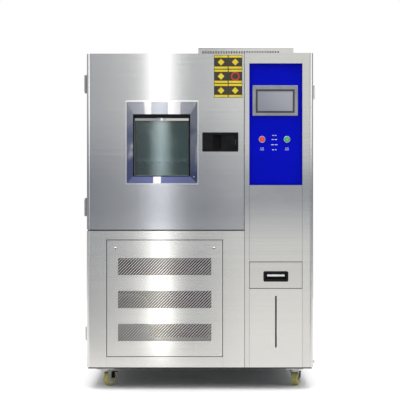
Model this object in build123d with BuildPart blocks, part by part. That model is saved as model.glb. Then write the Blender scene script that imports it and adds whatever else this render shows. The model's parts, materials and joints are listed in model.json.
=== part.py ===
from build123d import *
import math
import os

# Programmable temperature and humidity test chamber, in millimetres.
# +Z is up, +X is to the right of someone facing the door, and the front looks along -Y.
# The origin is on the floor, under the middle of the cabinet.

# Overall cabinet
cabinet_width = 1000.0
cabinet_depth = 1000.0
cabinet_height = 1482.0
caster_height = 82.0
frame_tube = 40.0
frame_drop = 15.0
corner_radius = 20.0
sheet = 1.5
seam = 0.4
touch = 0.2

# Front layout, measured from the left edge of the cabinet and from the floor
door_width = 693.0
door_side_gap = 4.0
door_thickness = 60.0
door_bottom = 703.5
door_top_drop = 3.5
lower_section_top = 698.0
post_depth = 66.0
gasket_squeeze = 0.3

# Lower front frame and its slotted cover
left_post_width = 87.6
middle_post_width = 94.0
cover_rail_top = 38.6
cover_rail_bottom = 45.7
cover_gap = 3.0
cover_fold = 12.0
cover_lip = 14.0
slot_band_width = 411.0
slot_band_height = 75.6
slot_band_pitch = 145.2
slot_band_centre_height = 395.6
slot_width = 5.8
slot_pitch = 13.3
slot_lean = 45.0

# Control column
column_post_width = 20.0
column_corner_width = 49.0
header_height = 46.2
control_bay_height = 535.6
control_recess = 12.0
control_fold = 20.0
control_sheet = 2.0
control_bead_inset = 9.0
control_bead_width = 4.0
control_bead_height = 1.5
blank_panel_height = 338.2
drawer_bay_height = 118.0
drawer_gap = 4.0
panel_fold = 12.0
panel_gap = 0.8
sight_slot_width = 8.0
sight_slot_height = 228.0
sight_slot_foot = 87.0

# Touch screen and push buttons
screen_width = 200.0
screen_height = 134.0
screen_top_margin = 96.0
screen_proud = 7.0
screen_body_depth = 38.0
screen_body_margin = 6.0
display_width = 156.0
display_height = 88.0
display_drop = 2.5
display_thickness = 2.0
button_spacing = 110.0
button_left_offset = 57.0
button_below_top = 334.0
button_ring_radius = 14.5
button_ring_proud = 4.0
button_barrel_radius = 11.0
button_barrel_length = 30.0
button_cap_radius = 10.5
button_cap_proud = 6.5
button_stem_radius = 8.2
button_travel = 3.5
button_clearance = 0.3

# Water drawer, its pull and the tank behind
drawer_front_depth = 15.0
tray_width = 188.0
tray_length = 280.0
tray_height = 88.0
tray_foot = 4.0
drawer_travel = 180.0
runner_height = 30.0
runner_sheet = 3.0
runner_length = 250.0
pull_width = 110.0
pull_height = 46.0
pull_corner = 7.0
pull_depth = 20.0
pull_flange = 2.0
pull_wall = 6.0
pull_bar_length = 77.0
pull_bar_height = 8.0
pull_bar_depth = 5.0
tank_length = 200.0
tank_height = 306.0
level_tube_radius = 7.0
level_tube_gap = 14.0

# Test space, its walls and its fittings
chamber_width = 500.0
chamber_height = 600.0
chamber_depth = 627.0
liner_sheet = 1.0
back_wall = 95.0
board_joint = 0.3
duct_depth = 133.0
duct_fold = 12.0
outlet_slot_count = 16
outlet_slot_width = 9.0
outlet_slot_height = 70.0
shelf_levels = (860.0, 1010.0, 1200.0)
shelf_level_used = 1
ledge_width = 14.0
ledge_height = 16.0
ledge_length = 440.0
ledge_sheet = 2.0
shelf_side_gap = 3.0
shelf_sheet = 2.0
shelf_lip = 12.0
shelf_slot_rows = 3
shelf_slot_columns = 12
shelf_slot_width = 20.0
shelf_web = 16.0

# Air mover, coil and heater behind the duct panel
blower_height = 1200.0
blower_radius = 100.0
blower_width = 60.0
blower_blades = 20
blower_panel_gap = 24.0
shaft_radius = 8.0
shaft_clearance = 0.05
shaft_hole_radius = 12.0
motor_radius = 62.0
motor_length = 145.0
motor_flange = 150.0
motor_flange_thickness = 6.0
motor_shaft_depth = 50.0
coil_height = 140.0
coil_depth = 90.0
coil_fin_count = 24
heater_ring_radius = 128.0
heater_tube_radius = 5.0

# Cable port and drain
port_radius = 25.0
port_wall = 3.0
port_flange_radius = 38.0
port_flange_thickness = 6.0
port_from_rim = 314.0
port_clearance = 0.2
drain_radius = 8.5
drain_bore = 6.5
drain_reach = 14.0
drain_tail = 24.0
drain_flange_radius = 14.0
drain_flange_thickness = 3.0
drain_height = 112.0
drain_from_front = 100.0

# Door hinges
hinge_height = 74.0
hinge_stand_off = 9.0
hinge_knuckle_radius = 6.5
hinge_pin_radius = 4.0
hinge_leaf_thickness = 3.0
hinge_leaf_width = 30.0
hinge_pin_clearance = 0.05
hinge_finial_radius = 4.5
upper_hinge_foot = 1316.0
lower_hinge_foot = 762.0

# Door window
window_width = 252.0
window_height = 275.0
window_from_left = 205.0
window_foot = 937.0
bezel_side = 32.0
bezel_right = 36.0
bezel_top = 58.0
bezel_bottom = 34.0
bezel_proud = 8.0
bezel_bead = 5.0
bezel_round = 1.5
bezel_depth = 18.0
bezel_tuck = 8.0
throat_wall = 3.0
gasket_top = 15.0
gasket_side = 5.0
gasket_bottom = 4.0
window_gasket_thickness = 7.0
spacer_top = 13.0
spacer_side = 2.5
spacer_thickness = 8.0
glass_thickness = 6.0
glass_bite = 1.0

# Door plug and gasket
plug_depth = 36.0
plug_clearance = 4.0
gasket_width = 14.0
gasket_inset = 12.0

# Flush latch
latch_width = 159.0
latch_height = 85.0
latch_from_left = 510.0
latch_foot = 1047.0
latch_corner = 5.0
latch_proud = 3.0
latch_body_inset = 8.0
latch_body_depth = 38.0
latch_wall = 4.0
latch_face_drop = 2.5
latch_rim = 9.0
well_width = 52.0
well_from_left = 48.0
paddle_width = 44.0
paddle_lip = 18.0
paddle_thickness = 6.0
paddle_lip_drop = 5.0
paddle_clearance = 0.4
paddle_pivot_radius = 2.4
paddle_pivot_clearance = 0.1
paddle_pivot_inset = 5.0
paddle_arm = 17.0
paddle_arm_width = 3.0
paddle_knob_radius = 3.5
paddle_arm_height = 10.0
paddle_end_gap = 1.5
paddle_swing = 30.0
bolt_height = 20.0
bolt_thickness = 12.0
bolt_gap = 0.5
bolt_clearance = 0.4
bolt_fork_gap = 1.0
strike_width = 34.0
strike_height = 60.0
strike_sheet = 1.0
strike_clearance = 2.0

# Casters
caster_axis_inset_x = 77.0
caster_axis_inset_y = 95.0
caster_plate_width = 76.0
caster_plate_length = 60.0
caster_plate_thickness = 4.0
wheel_radius = 30.0
wheel_width = 28.0
wheel_bore_clearance = 0.05
wheel_groove_depth = 1.2
wheel_groove_width = 4.0
axle_radius = 4.0
axle_head_radius = 6.5
axle_head = 4.0
fork_sheet = 2.5
fork_gap = 1.5
fork_head_radius = 22.0
fork_arm_radius = 9.0
swivel_race_radius = 18.0
swivel_race_height = 6.0
king_pin_radius = 5.0
swivel_clearance = 0.3
caster_trail = 26.0
# Direction in which each wheel trails its king pin, in degrees from +X
caster_headings = {"front_left": 45.0, "front_right": 70.0, "rear_left": 120.0, "rear_right": 80.0}

# Side grips
grip_height = 73.0
grip_reach = 18.0
grip_bar = 8.0
grip_foot_radius = 8.0
grip_from_front = 120.0
left_grip_height = 233.0
right_grip_height = 1320.0

# Roof vent cover
vent_cover_width = 452.0
vent_cover_length = 500.0
vent_cover_height = 80.0
vent_cover_from_left = 492.0
vent_cover_from_front = 400.0
vent_cover_slot_count = 30
vent_cover_slot_width = 6.0
vent_cover_slot_height = 40.0
vent_cover_slot_pitch = 12.3
vent_cover_slot_foot = 20.0

# Refrigeration plant
compressor_radius = 95.0
compressor_height = 262.0
compressor_foot = 12.0
compressor_from_left = 170.0
compressor_from_front = 250.0
condenser_width = 460.0
condenser_height = 400.0
condenser_thickness = 50.0
condenser_fins = 30
condenser_from_back = 40.0
shroud_depth = 46.0
shroud_sheet = 2.0
fan_radius = 150.0
fan_tip_gap = 5.0
fan_hub_radius = 38.0
fan_blades = 5
fan_depth = 28.0
fan_pin_radius = 5.0
fan_motor_radius = 42.0
fan_motor_length = 60.0
fan_strut = 16.0
pipe_radius = 6.0
rear_slot_rows = 12
rear_slot_columns = 4
rear_slot_length = 90.0
rear_slot_height = 7.0
rear_slot_pitch_x = 112.0
rear_slot_pitch_z = 24.0

# Electrical plate
board_length = 330.0
board_height = 500.0
board_foot = 900.0
board_sheet = 2.0

# Planes and edges that several pieces share
left = -cabinet_width / 2
right = cabinet_width / 2
front = -cabinet_depth / 2
back = cabinet_depth / 2
skin_foot = caster_height + frame_drop
roof_under = cabinet_height - sheet
frame_top = caster_height + frame_tube
bay_floor = frame_top + sheet
post_back = front + post_depth
door_left = left
door_right = left + door_width
door_top = cabinet_height - door_top_drop
door_back = front + door_thickness
column_left = door_right + door_side_gap
column_post_right = column_left + column_post_width
column_corner_left = right - column_corner_width
column_bay = (column_post_right, column_corner_left)
column_middle = sum(column_bay) / 2
partition = (column_left - sheet, column_left)
cover_bay_x = (left + left_post_width, partition[0] - touch - middle_post_width)
cover_bay_z = (skin_foot + cover_rail_bottom, lower_section_top - cover_rail_top)
header_foot = cabinet_height - header_height
control_foot = header_foot - control_bay_height
blank_foot = control_foot - blank_panel_height
drawer_foot = blank_foot - drawer_bay_height
chamber_middle_x = (door_left + door_right) / 2
chamber_middle_z = (door_bottom + door_top) / 2
chamber_x = (chamber_middle_x - chamber_width / 2, chamber_middle_x + chamber_width / 2)
chamber_z = (chamber_middle_z - chamber_height / 2, chamber_middle_z + chamber_height / 2)
chamber_back = post_back + chamber_depth
deck_top = lower_section_top + sheet
duct_front = chamber_back - duct_depth
rim_front = post_back - sheet
port_y = post_back + port_from_rim
latch_x = (door_left + latch_from_left, door_left + latch_from_left + latch_width)
latch_z = (latch_foot, latch_foot + latch_height)
latch_middle_z = sum(latch_z) / 2
latch_body_x = (latch_x[0] + latch_body_inset, latch_x[1] - latch_body_inset)
latch_body_z = (latch_z[0] + latch_body_inset, latch_z[1] - latch_body_inset)
latch_front = front - latch_proud
latch_face = latch_front + latch_face_drop
paddle_right = latch_body_x[1] - latch_wall - paddle_end_gap
pivot_x = paddle_right - paddle_pivot_inset
pivot_y = latch_face + paddle_thickness / 2
bolt_y = (pivot_y + paddle_arm - paddle_knob_radius - bolt_fork_gap, pivot_y + paddle_arm + bolt_thickness / 2 + 1)
bolt_z = (latch_middle_z - bolt_height / 2, latch_middle_z + bolt_height / 2)
bolt_tip = column_left - strike_sheet - bolt_gap


def block(x, y, z, mode=Mode.ADD):
    """A box between two corners, each axis given as a (low, high) pair."""
    with Locations(((x[0] + x[1]) / 2, (y[0] + y[1]) / 2, (z[0] + z[1]) / 2)):
        Box(x[1] - x[0], y[1] - y[0], z[1] - z[0], mode=mode)


def rod_x(x, y, z, radius, mode=Mode.ADD):
    """A round bar along X, from x[0] to x[1]."""
    with Locations(((x[0] + x[1]) / 2, y, z)):
        Cylinder(radius, x[1] - x[0], rotation=(0, 90, 0), mode=mode)


def rod_y(x, y, z, radius, mode=Mode.ADD):
    """A round bar along Y, from y[0] to y[1]."""
    with Locations((x, (y[0] + y[1]) / 2, z)):
        Cylinder(radius, y[1] - y[0], rotation=(90, 0, 0), mode=mode)


def rod_z(x, y, z, radius, mode=Mode.ADD):
    """A round bar along Z, from z[0] to z[1]."""
    with Locations((x, y, (z[0] + z[1]) / 2)):
        Cylinder(radius, z[1] - z[0], mode=mode)


def grown(span, amount):
    """A (low, high) pair widened by amount at both ends."""
    return (span[0] - amount, span[1] + amount)


def folded_pan(x, z, y_face, fold, thickness):
    """A sheet whose four edges are folded back, with its face at y_face."""
    block(x, (y_face, y_face + fold), z)
    block(grown(x, -thickness), (y_face + thickness, y_face + fold), grown(z, -thickness), Mode.SUBTRACT)


def save(builder, name):
    """Labels a finished piece and writes it as one STEP file."""
    builder.part.label = name
    export_step(builder.part, f"parts/{name}.step")


os.makedirs("parts", exist_ok=True)

# Base frame: welded square tubes, with the casters under their corners
inner_x = (left + sheet, right - sheet)
inner_y = (post_back, back - sheet)
with BuildPart() as base_frame:
    for side_x in ((inner_x[0], inner_x[0] + frame_tube), (inner_x[1] - frame_tube, inner_x[1])):
        block(side_x, inner_y, (caster_height, frame_top))
        block(grown(side_x, -sheet), inner_y, (caster_height + sheet, frame_top - sheet), Mode.SUBTRACT)
    cross_x = (inner_x[0] + frame_tube + touch, inner_x[1] - frame_tube - touch)
    middle_tube = (inner_y[0] + inner_y[1] - frame_tube) / 2
    for tube_front in (inner_y[0], middle_tube, inner_y[1] - frame_tube):
        tube_y = (tube_front, tube_front + frame_tube)
        block(cross_x, tube_y, (caster_height, frame_top))
        block(cross_x, grown(tube_y, -sheet), (caster_height + sheet, frame_top - sheet), Mode.SUBTRACT)
    rod_x((right - drain_tail - 1, right), front + drain_from_front, drain_height, drain_radius + touch, Mode.SUBTRACT)
save(base_frame, "base_frame")

# Inner decks: machine bay floor, wall beside the control column, deck under the test space
with BuildPart() as inner_decks:
    block(inner_x, inner_y, (frame_top, bay_floor))
    block(partition, inner_y, (bay_floor + touch, roof_under))
    block((inner_x[0], partition[0] - touch), inner_y, (lower_section_top, deck_top))
save(inner_decks, "inner_decks")

# Outer skins
with BuildPart() as side_panels:
    block((left, left + sheet), (post_back, back), (skin_foot, roof_under))
    rod_x((left, left + sheet), port_y, chamber_middle_z, port_radius + port_wall + port_clearance, Mode.SUBTRACT)
    block((right - sheet, right), (post_back, back), (skin_foot, roof_under))
    rod_x((right - sheet, right), front + drain_from_front, drain_height, drain_radius + touch, Mode.SUBTRACT)
save(side_panels, "side_panels")

condenser_x = (left + 80.0, left + 80.0 + condenser_width)
condenser_middle = sum(condenser_x) / 2
fan_height = bay_floor + condenser_height / 2
with BuildPart() as back_panel:
    block(inner_x, (back - sheet, back), (skin_foot, roof_under))
    with Locations(Plane.XZ * Location((condenser_middle, fan_height, -back + sheet / 2))):
        with GridLocations(rear_slot_pitch_x, rear_slot_pitch_z, rear_slot_columns, rear_slot_rows):
            Box(rear_slot_length, rear_slot_height, 2 * sheet, mode=Mode.SUBTRACT)
save(back_panel, "back_panel")

with BuildPart() as roof_panel:
    block((left, right), (post_back, back), (roof_under, cabinet_height))
save(roof_panel, "roof_panel")

vent_cover_x = (left + vent_cover_from_left, left + vent_cover_from_left + vent_cover_width)
vent_cover_y = (front + vent_cover_from_front, front + vent_cover_from_front + vent_cover_length)
vent_cover_z = (cabinet_height, cabinet_height + vent_cover_height)
with BuildPart() as roof_vent_cover:
    block(vent_cover_x, vent_cover_y, vent_cover_z)
    fillet(roof_vent_cover.edges().filter_by(Axis.Z), 3 * sheet)
    fillet(roof_vent_cover.faces().sort_by(Axis.Z)[-1].edges(), 2 * sheet)
    offset(amount=-sheet, openings=roof_vent_cover.faces().sort_by(Axis.Z)[0])
    slots_middle = (vent_cover_x[0] + vent_cover_x[1]) / 2 - 2 * vent_cover_slot_pitch
    with Locations((slots_middle, vent_cover_y[0], vent_cover_z[0] + vent_cover_slot_foot)):
        with GridLocations(vent_cover_slot_pitch, 1, vent_cover_slot_count, 1):
            Box(vent_cover_slot_width, 4 * sheet, vent_cover_slot_height,
                align=(Align.CENTER, Align.CENTER, Align.MIN), mode=Mode.SUBTRACT)
save(roof_vent_cover, "roof_vent_cover")

# Control column: two folded posts and a header that frame the bays
with BuildPart() as column_frame:
    block((column_left, column_post_right), (front, post_back - touch), (skin_foot, cabinet_height))
    block((column_left + sheet, column_post_right - sheet), (front + sheet, post_back), (skin_foot, roof_under),
          Mode.SUBTRACT)
    with BuildSketch(Plane.XY.offset(skin_foot)) as corner_post_plan:
        with Locations((column_corner_left, front)):
            Rectangle(column_corner_width, post_depth - touch, align=(Align.MIN, Align.MIN))
        fillet(corner_post_plan.vertices().group_by(Axis.Y)[0].sort_by(Axis.X)[-1], corner_radius)
    extrude(amount=cabinet_height - skin_foot)
    block((column_corner_left + sheet, right - corner_radius), (front + sheet, post_back), (skin_foot, roof_under),
          Mode.SUBTRACT)
    block((column_left - 1, column_left + 2 * sheet), grown(bolt_y, strike_clearance),
          grown(bolt_z, strike_clearance), Mode.SUBTRACT)
    block(grown(column_bay, -touch), (front, post_back - touch), (header_foot, cabinet_height))
    block(grown(column_bay, -touch), (front + sheet, post_back), (header_foot + sheet, roof_under), Mode.SUBTRACT)
save(column_frame, "column_frame")

# Blue control panel: a tray set back in its bay, with holes for the screen and the buttons
control_z = (control_foot, header_foot - touch)
control_x = grown(column_bay, -touch)
control_face = front + control_recess
screen_x = (column_middle - 2.5 - screen_width / 2, column_middle - 2.5 + screen_width / 2)
screen_z = (control_z[1] - screen_top_margin - screen_height, control_z[1] - screen_top_margin)
screen_front = control_face - screen_proud
screen_body_x = grown(screen_x, -screen_body_margin)
screen_body_z = grown(screen_z, -screen_body_margin)
stop_x = column_bay[0] + button_left_offset
start_x = stop_x + button_spacing
button_z = control_z[1] - button_below_top
with BuildPart() as control_panel:
    block(control_x, (control_face, control_face + control_fold), control_z)
    block(grown(control_x, -control_sheet), (control_face + control_sheet, control_face + control_fold),
          grown(control_z, -control_sheet), Mode.SUBTRACT)
    bead_x = grown(control_x, -control_bead_inset)
    bead_z = grown(control_z, -control_bead_inset)
    with BuildSketch(Plane.XZ.offset(-control_face)):
        with Locations((sum(bead_x) / 2, sum(bead_z) / 2)):
            Rectangle(bead_x[1] - bead_x[0], bead_z[1] - bead_z[0])
            Rectangle(bead_x[1] - bead_x[0] - 2 * control_bead_width,
                      bead_z[1] - bead_z[0] - 2 * control_bead_width, mode=Mode.SUBTRACT)
    extrude(amount=control_bead_height)
    block(grown(screen_body_x, touch), (control_face - 1, control_face + control_fold), grown(screen_body_z, touch),
          Mode.SUBTRACT)
    for button_x in (stop_x, start_x):
        rod_y(button_x, (control_face - 1, control_face + control_fold), button_z, button_barrel_radius + touch,
              Mode.SUBTRACT)
save(control_panel, "control_panel")

# Touch screen: stepped frame with its display let in
display_x = (sum(screen_x) / 2 - display_width / 2, sum(screen_x) / 2 + display_width / 2)
display_z = (screen_z[0] + (screen_height - display_height) / 2 - display_drop,
             screen_z[1] - (screen_height - display_height) / 2 - display_drop)
with BuildPart() as screen_housing:
    block(screen_x, (screen_front, control_face), screen_z)
    fillet(screen_housing.edges().filter_by(Axis.Y), 3.0)
    chamfer(screen_housing.faces().sort_by(Axis.Y)[0].edges(), 2.0)
    block(screen_body_x, (control_face, control_face + screen_body_depth), screen_body_z)
    block(display_x, (screen_front, screen_front + display_thickness + 1), display_z, Mode.SUBTRACT)
save(screen_housing, "screen_housing")

with BuildPart() as screen_display:
    block(grown(display_x, -touch), (screen_front + 1, screen_front + 1 + display_thickness), grown(display_z, -touch))
save(screen_display, "screen_display")

# Push buttons: a metal ring with its barrel, and a sprung cap that slides in it
cap_seat = control_face - button_ring_proud
with BuildPart() as button_rings:
    for button_x in (stop_x, start_x):
        rod_y(button_x, (cap_seat, control_face), button_z, button_ring_radius)
        rod_y(button_x, (control_face, control_face + button_barrel_length), button_z, button_barrel_radius)
        rod_y(button_x, (cap_seat, control_face - touch), button_z, button_cap_radius + button_clearance,
              Mode.SUBTRACT)
        rod_y(button_x, (cap_seat, control_face + button_barrel_length / 2), button_z,
              button_stem_radius + button_clearance, Mode.SUBTRACT)
    chamfer(button_rings.faces().filter_by(GeomType.PLANE).group_by(Axis.Y)[0].edges(), 0.9)
save(button_rings, "button_rings")

for button_name, button_x in (("stop_button", stop_x), ("start_button", start_x)):
    with BuildPart() as push_button:
        rod_y(button_x, (control_face - button_cap_proud, control_face - button_travel - touch), button_z,
              button_cap_radius)
        fillet(push_button.edges().group_by(Axis.Y)[0], 1.2)
        rod_y(button_x, (control_face - button_travel - touch,
                         control_face + button_barrel_length / 2 - button_travel - touch), button_z,
              button_stem_radius)
    save(push_button, button_name)

# Plain panel under the controls
panel_x = grown(column_bay, -panel_gap)
with BuildPart() as blank_panel:
    folded_pan(panel_x, (blank_foot + panel_gap, control_foot - panel_gap), front, panel_fold, sheet)
save(blank_panel, "blank_panel")

# Panel with the sight slot of the water level, and the level tube behind it
sight_z = (skin_foot, drawer_foot - panel_gap)
sight_middle = skin_foot + sight_slot_foot + sight_slot_height / 2
with BuildPart() as sight_panel:
    folded_pan(panel_x, sight_z, front, panel_fold, sheet)
    with BuildSketch(Plane.XZ.offset(-front)):
        with Locations((column_middle, sight_middle)):
            SlotOverall(sight_slot_height, sight_slot_width, rotation=90)
    extrude(amount=-panel_fold, mode=Mode.SUBTRACT)
save(sight_panel, "sight_panel")

# Water drawer: front, tray and pull travel together
drawer_x = grown(column_bay, -drawer_gap / 2)
drawer_z = (drawer_foot + drawer_gap / 2, blank_foot - drawer_gap / 2)
drawer_middle = sum(drawer_z) / 2
pull_x = (column_middle - pull_width / 2, column_middle + pull_width / 2)
pull_z = (drawer_middle - pull_height / 2 - 5.5, drawer_middle + pull_height / 2 - 5.5)
pull_body_x = grown(pull_x, -pull_flange - 1)
pull_body_z = grown(pull_z, -pull_flange - 1)
drawer_back = front + drawer_front_depth
with BuildPart() as drawer_front:
    folded_pan(drawer_x, drawer_z, front, drawer_front_depth, sheet)
    block(grown(pull_body_x, touch), (front, drawer_back), grown(pull_body_z, touch), Mode.SUBTRACT)
save(drawer_front, "drawer_front")

cup_x = grown(pull_body_x, -pull_wall)
cup_z = grown(pull_body_z, -pull_wall)
with BuildPart() as drawer_pull:
    block(pull_x, (front - pull_flange, front), pull_z)
    fillet(drawer_pull.edges().filter_by(Axis.Y), pull_corner)
    block(pull_body_x, (front, front + pull_depth), pull_body_z)
    block(cup_x, (front - pull_flange, front + pull_depth - sheet), cup_z, Mode.SUBTRACT)
    bar_z = (cup_z[1] - pull_bar_height, cup_z[1] + 1)
    block((column_middle - pull_bar_length / 2, column_middle + pull_bar_length / 2),
          (front - pull_flange / 2, front - pull_flange / 2 + pull_bar_depth), bar_z)
save(drawer_pull, "drawer_pull")

tray_x = (column_middle - tray_width / 2, column_middle + tray_width / 2)
tray_y = (front + pull_depth + touch, front + pull_depth + touch + tray_length)
tray_z = (drawer_z[0] + tray_foot, drawer_z[0] + tray_foot + tray_height)
with BuildPart() as drawer_tray:
    block(tray_x, tray_y, tray_z)
    fillet(drawer_tray.edges().filter_by(Axis.Z), 6.0)
    offset(amount=-2 * sheet, openings=drawer_tray.faces().sort_by(Axis.Z)[-1])
    for arm_x in ((tray_x[0] + 2, tray_x[0] + 12), (tray_x[1] - 12, tray_x[1] - 2)):
        block(arm_x, (front + sheet, tray_y[0] + sheet), (tray_z[0] + 6, tray_z[0] + 26))
save(drawer_tray, "drawer_tray")

# Fixed runners carry the tray on an angle at each side, on brackets from the partition and the right skin
with BuildPart() as drawer_runners:
    for wall_x, ledge_x in (
        ((tray_x[0] - touch - runner_sheet, tray_x[0] - touch), (tray_x[0] - touch, tray_x[0] + 8)),
        ((tray_x[1] + touch, tray_x[1] + touch + runner_sheet), (tray_x[1] - 8, tray_x[1] + touch)),
    ):
        runner_y = (post_back, post_back + runner_length)
        runner_foot = tray_z[0] - touch - runner_sheet
        block(wall_x, runner_y, (runner_foot, runner_foot + runner_height))
        block(ledge_x, runner_y, (runner_foot, tray_z[0] - touch))
    bracket_y = (post_back + runner_length - 30.0, post_back + runner_length)
    runner_outer = (tray_x[0] - touch - runner_sheet, tray_x[1] + touch + runner_sheet)
    for span in ((partition[1], runner_outer[0]), (runner_outer[1], right - sheet)):
        for bracket_front in (post_back, bracket_y[0]):
            block(span, (bracket_front, bracket_front + 30.0), (runner_foot, runner_foot + runner_height))
save(drawer_runners, "drawer_runners")

# Water tank on the bay floor, with its sight tube behind the slot
tank_z = (bay_floor, bay_floor + tank_height)
tank_y = (post_back + level_tube_gap, post_back + level_tube_gap + tank_length)
tube_y = front + panel_fold + level_tube_radius + level_tube_gap
tube_z = (skin_foot + sight_slot_foot - 4, skin_foot + sight_slot_foot + sight_slot_height + 4)
with BuildPart() as water_tank:
    block(tray_x, tank_y, tank_z)
    fillet(water_tank.edges().filter_by(Axis.Z), 12.0)
    rod_z(column_middle, tank_y[0] + tank_length / 2, (tank_z[1], tank_z[1] + 12.0), 22.0)
    rod_z(column_middle, tube_y, tube_z, level_tube_radius)
    for elbow_z in (tube_z[0], tube_z[1] - 16):
        rod_z(column_middle, tube_y, (elbow_z, elbow_z + 16), level_tube_radius + 2)
        rod_y(column_middle, (tube_y, tank_y[0]), elbow_z + 8, level_tube_radius - 1)
save(water_tank, "water_tank")

# Lower front frame around the service cover, with the lip that the cover is screwed against
lower_back = post_back - touch
with BuildPart() as lower_front_frame:
    with BuildSketch(Plane.XY.offset(skin_foot)) as left_post_plan:
        with Locations((left, front)):
            Rectangle(left_post_width, post_depth - touch, align=(Align.MIN, Align.MIN))
        fillet(left_post_plan.vertices().group_by(Axis.Y)[0].sort_by(Axis.X)[0], corner_radius)
    extrude(amount=lower_section_top - skin_foot)
    block((left + corner_radius, cover_bay_x[0] - sheet), (front + sheet, post_back),
          (skin_foot + sheet, lower_section_top - sheet), Mode.SUBTRACT)
    middle_post_x = (cover_bay_x[1], partition[0] - touch)
    block(middle_post_x, (front, lower_back), (skin_foot, lower_section_top))
    block(grown(middle_post_x, -sheet), (front + sheet, post_back), (skin_foot + sheet, lower_section_top - sheet),
          Mode.SUBTRACT)
    for rail_z in ((skin_foot, cover_bay_z[0]), (cover_bay_z[1], lower_section_top)):
        block(grown(cover_bay_x, -seam), (front, lower_back), rail_z)
        block(grown(cover_bay_x, -seam - sheet), (front + sheet, post_back), grown(rail_z, -sheet), Mode.SUBTRACT)
    lip_y = (front + cover_fold + touch, front + cover_fold + touch + sheet)
    block(grown(cover_bay_x, sheet), lip_y, grown(cover_bay_z, sheet))
    block(grown(cover_bay_x, -cover_lip), lip_y, grown(cover_bay_z, -cover_lip), Mode.SUBTRACT)
save(lower_front_frame, "lower_front_frame")

# Service cover: a folded sheet with three bands of leaning slots
cover_x = grown(cover_bay_x, -cover_gap)
cover_z = grown(cover_bay_z, -cover_gap)
cover_middle = sum(cover_x) / 2
slot_lean_run = slot_band_height / math.tan(math.radians(slot_lean))
slot_edge = slot_width / math.sin(math.radians(slot_lean))
slot_count = int((slot_band_width + slot_lean_run) / slot_pitch)
with BuildPart() as service_cover:
    folded_pan(cover_x, cover_z, front, cover_fold, sheet)
    for band in (-1, 0, 1):
        band_height = slot_band_centre_height + band * slot_band_pitch
        with BuildSketch(Plane.XZ.offset(-front)):
            with Locations((cover_middle, band_height)):
                with GridLocations(slot_pitch, 1, slot_count, 1):
                    Polygon((-slot_lean_run / 2 - slot_edge / 2, -slot_band_height / 2),
                            (-slot_lean_run / 2 + slot_edge / 2, -slot_band_height / 2),
                            (slot_lean_run / 2 + slot_edge / 2, slot_band_height / 2),
                            (slot_lean_run / 2 - slot_edge / 2, slot_band_height / 2), align=None)
                Rectangle(slot_band_width, slot_band_height, mode=Mode.INTERSECT)
        extrude(amount=-2 * sheet, mode=Mode.SUBTRACT)
save(service_cover, "service_cover")

# Test space: thin liner with a flange round its mouth, and the insulation around it
wall_x = (left + sheet, partition[0] - touch)
wall_z = (deck_top, roof_under)
liner_x = grown(chamber_x, liner_sheet)
liner_z = grown(chamber_z, liner_sheet)
port_hole = port_radius + port_wall + port_clearance
with BuildPart() as chamber_liner:
    block(liner_x, (post_back, chamber_back + liner_sheet), liner_z)
    block(wall_x, (rim_front, post_back), wall_z)
    block(chamber_x, (rim_front, chamber_back), chamber_z, Mode.SUBTRACT)
    rod_x((liner_x[0], chamber_x[0] + 1), port_y, chamber_middle_z, port_hole, Mode.SUBTRACT)
    rod_y(chamber_middle_x, (chamber_back - 1, chamber_back + 2), blower_height, shaft_hole_radius, Mode.SUBTRACT)
save(chamber_liner, "chamber_liner")

wall_y = (post_back, chamber_back + back_wall)
core_back = chamber_back + liner_sheet
with BuildPart() as chamber_insulation:
    side_board_z = grown(liner_z, -board_joint)
    block((wall_x[0], liner_x[0]), (post_back, core_back), side_board_z)
    rod_x((wall_x[0], liner_x[0]), port_y, chamber_middle_z, port_hole, Mode.SUBTRACT)
    block((liner_x[1], wall_x[1]), (post_back, core_back), side_board_z)
    block(wall_x, (post_back, core_back), (wall_z[0], liner_z[0]))
    block(wall_x, (post_back, core_back), (liner_z[1], wall_z[1]))
    block(wall_x, (core_back + board_joint, wall_y[1]), wall_z)
    rod_y(chamber_middle_x, (core_back, wall_y[1]), blower_height, shaft_hole_radius, Mode.SUBTRACT)
save(chamber_insulation, "chamber_insulation")

# Cable port: a sleeve through the left wall with a flange outside
with BuildPart() as cable_port:
    rod_x((left, chamber_x[0]), port_y, chamber_middle_z, port_radius + port_wall)
    rod_x((left - port_flange_thickness, left), port_y, chamber_middle_z, port_flange_radius)
    chamfer(cable_port.faces().sort_by(Axis.X)[0].edges(), 1.5)
    rod_x((left - port_flange_thickness, chamber_x[0]), port_y, chamber_middle_z, port_radius, Mode.SUBTRACT)
save(cable_port, "cable_port")

# Air duct panel in front of the blower, with an outlet row above and an intake below
duct_x = grown(chamber_x, -touch)
duct_z = grown(chamber_z, -touch)
with BuildPart() as air_duct_panel:
    block(duct_x, (duct_front, duct_front + duct_fold), duct_z)
    block(grown(duct_x, -sheet), (duct_front + sheet, duct_front + duct_fold), grown(duct_z, -sheet), Mode.SUBTRACT)
    for row_z, row_height in ((duct_z[1] - 50.0, outlet_slot_height), (duct_z[0] + 75.0, outlet_slot_height)):
        with BuildSketch(Plane.XZ.offset(-duct_front)):
            with Locations((chamber_middle_x, row_z)):
                with GridLocations(chamber_width / (outlet_slot_count + 2), 1, outlet_slot_count, 1):
                    Rectangle(outlet_slot_width, row_height)
        extrude(amount=-2 * sheet, mode=Mode.SUBTRACT)
save(air_duct_panel, "air_duct_panel")

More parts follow.
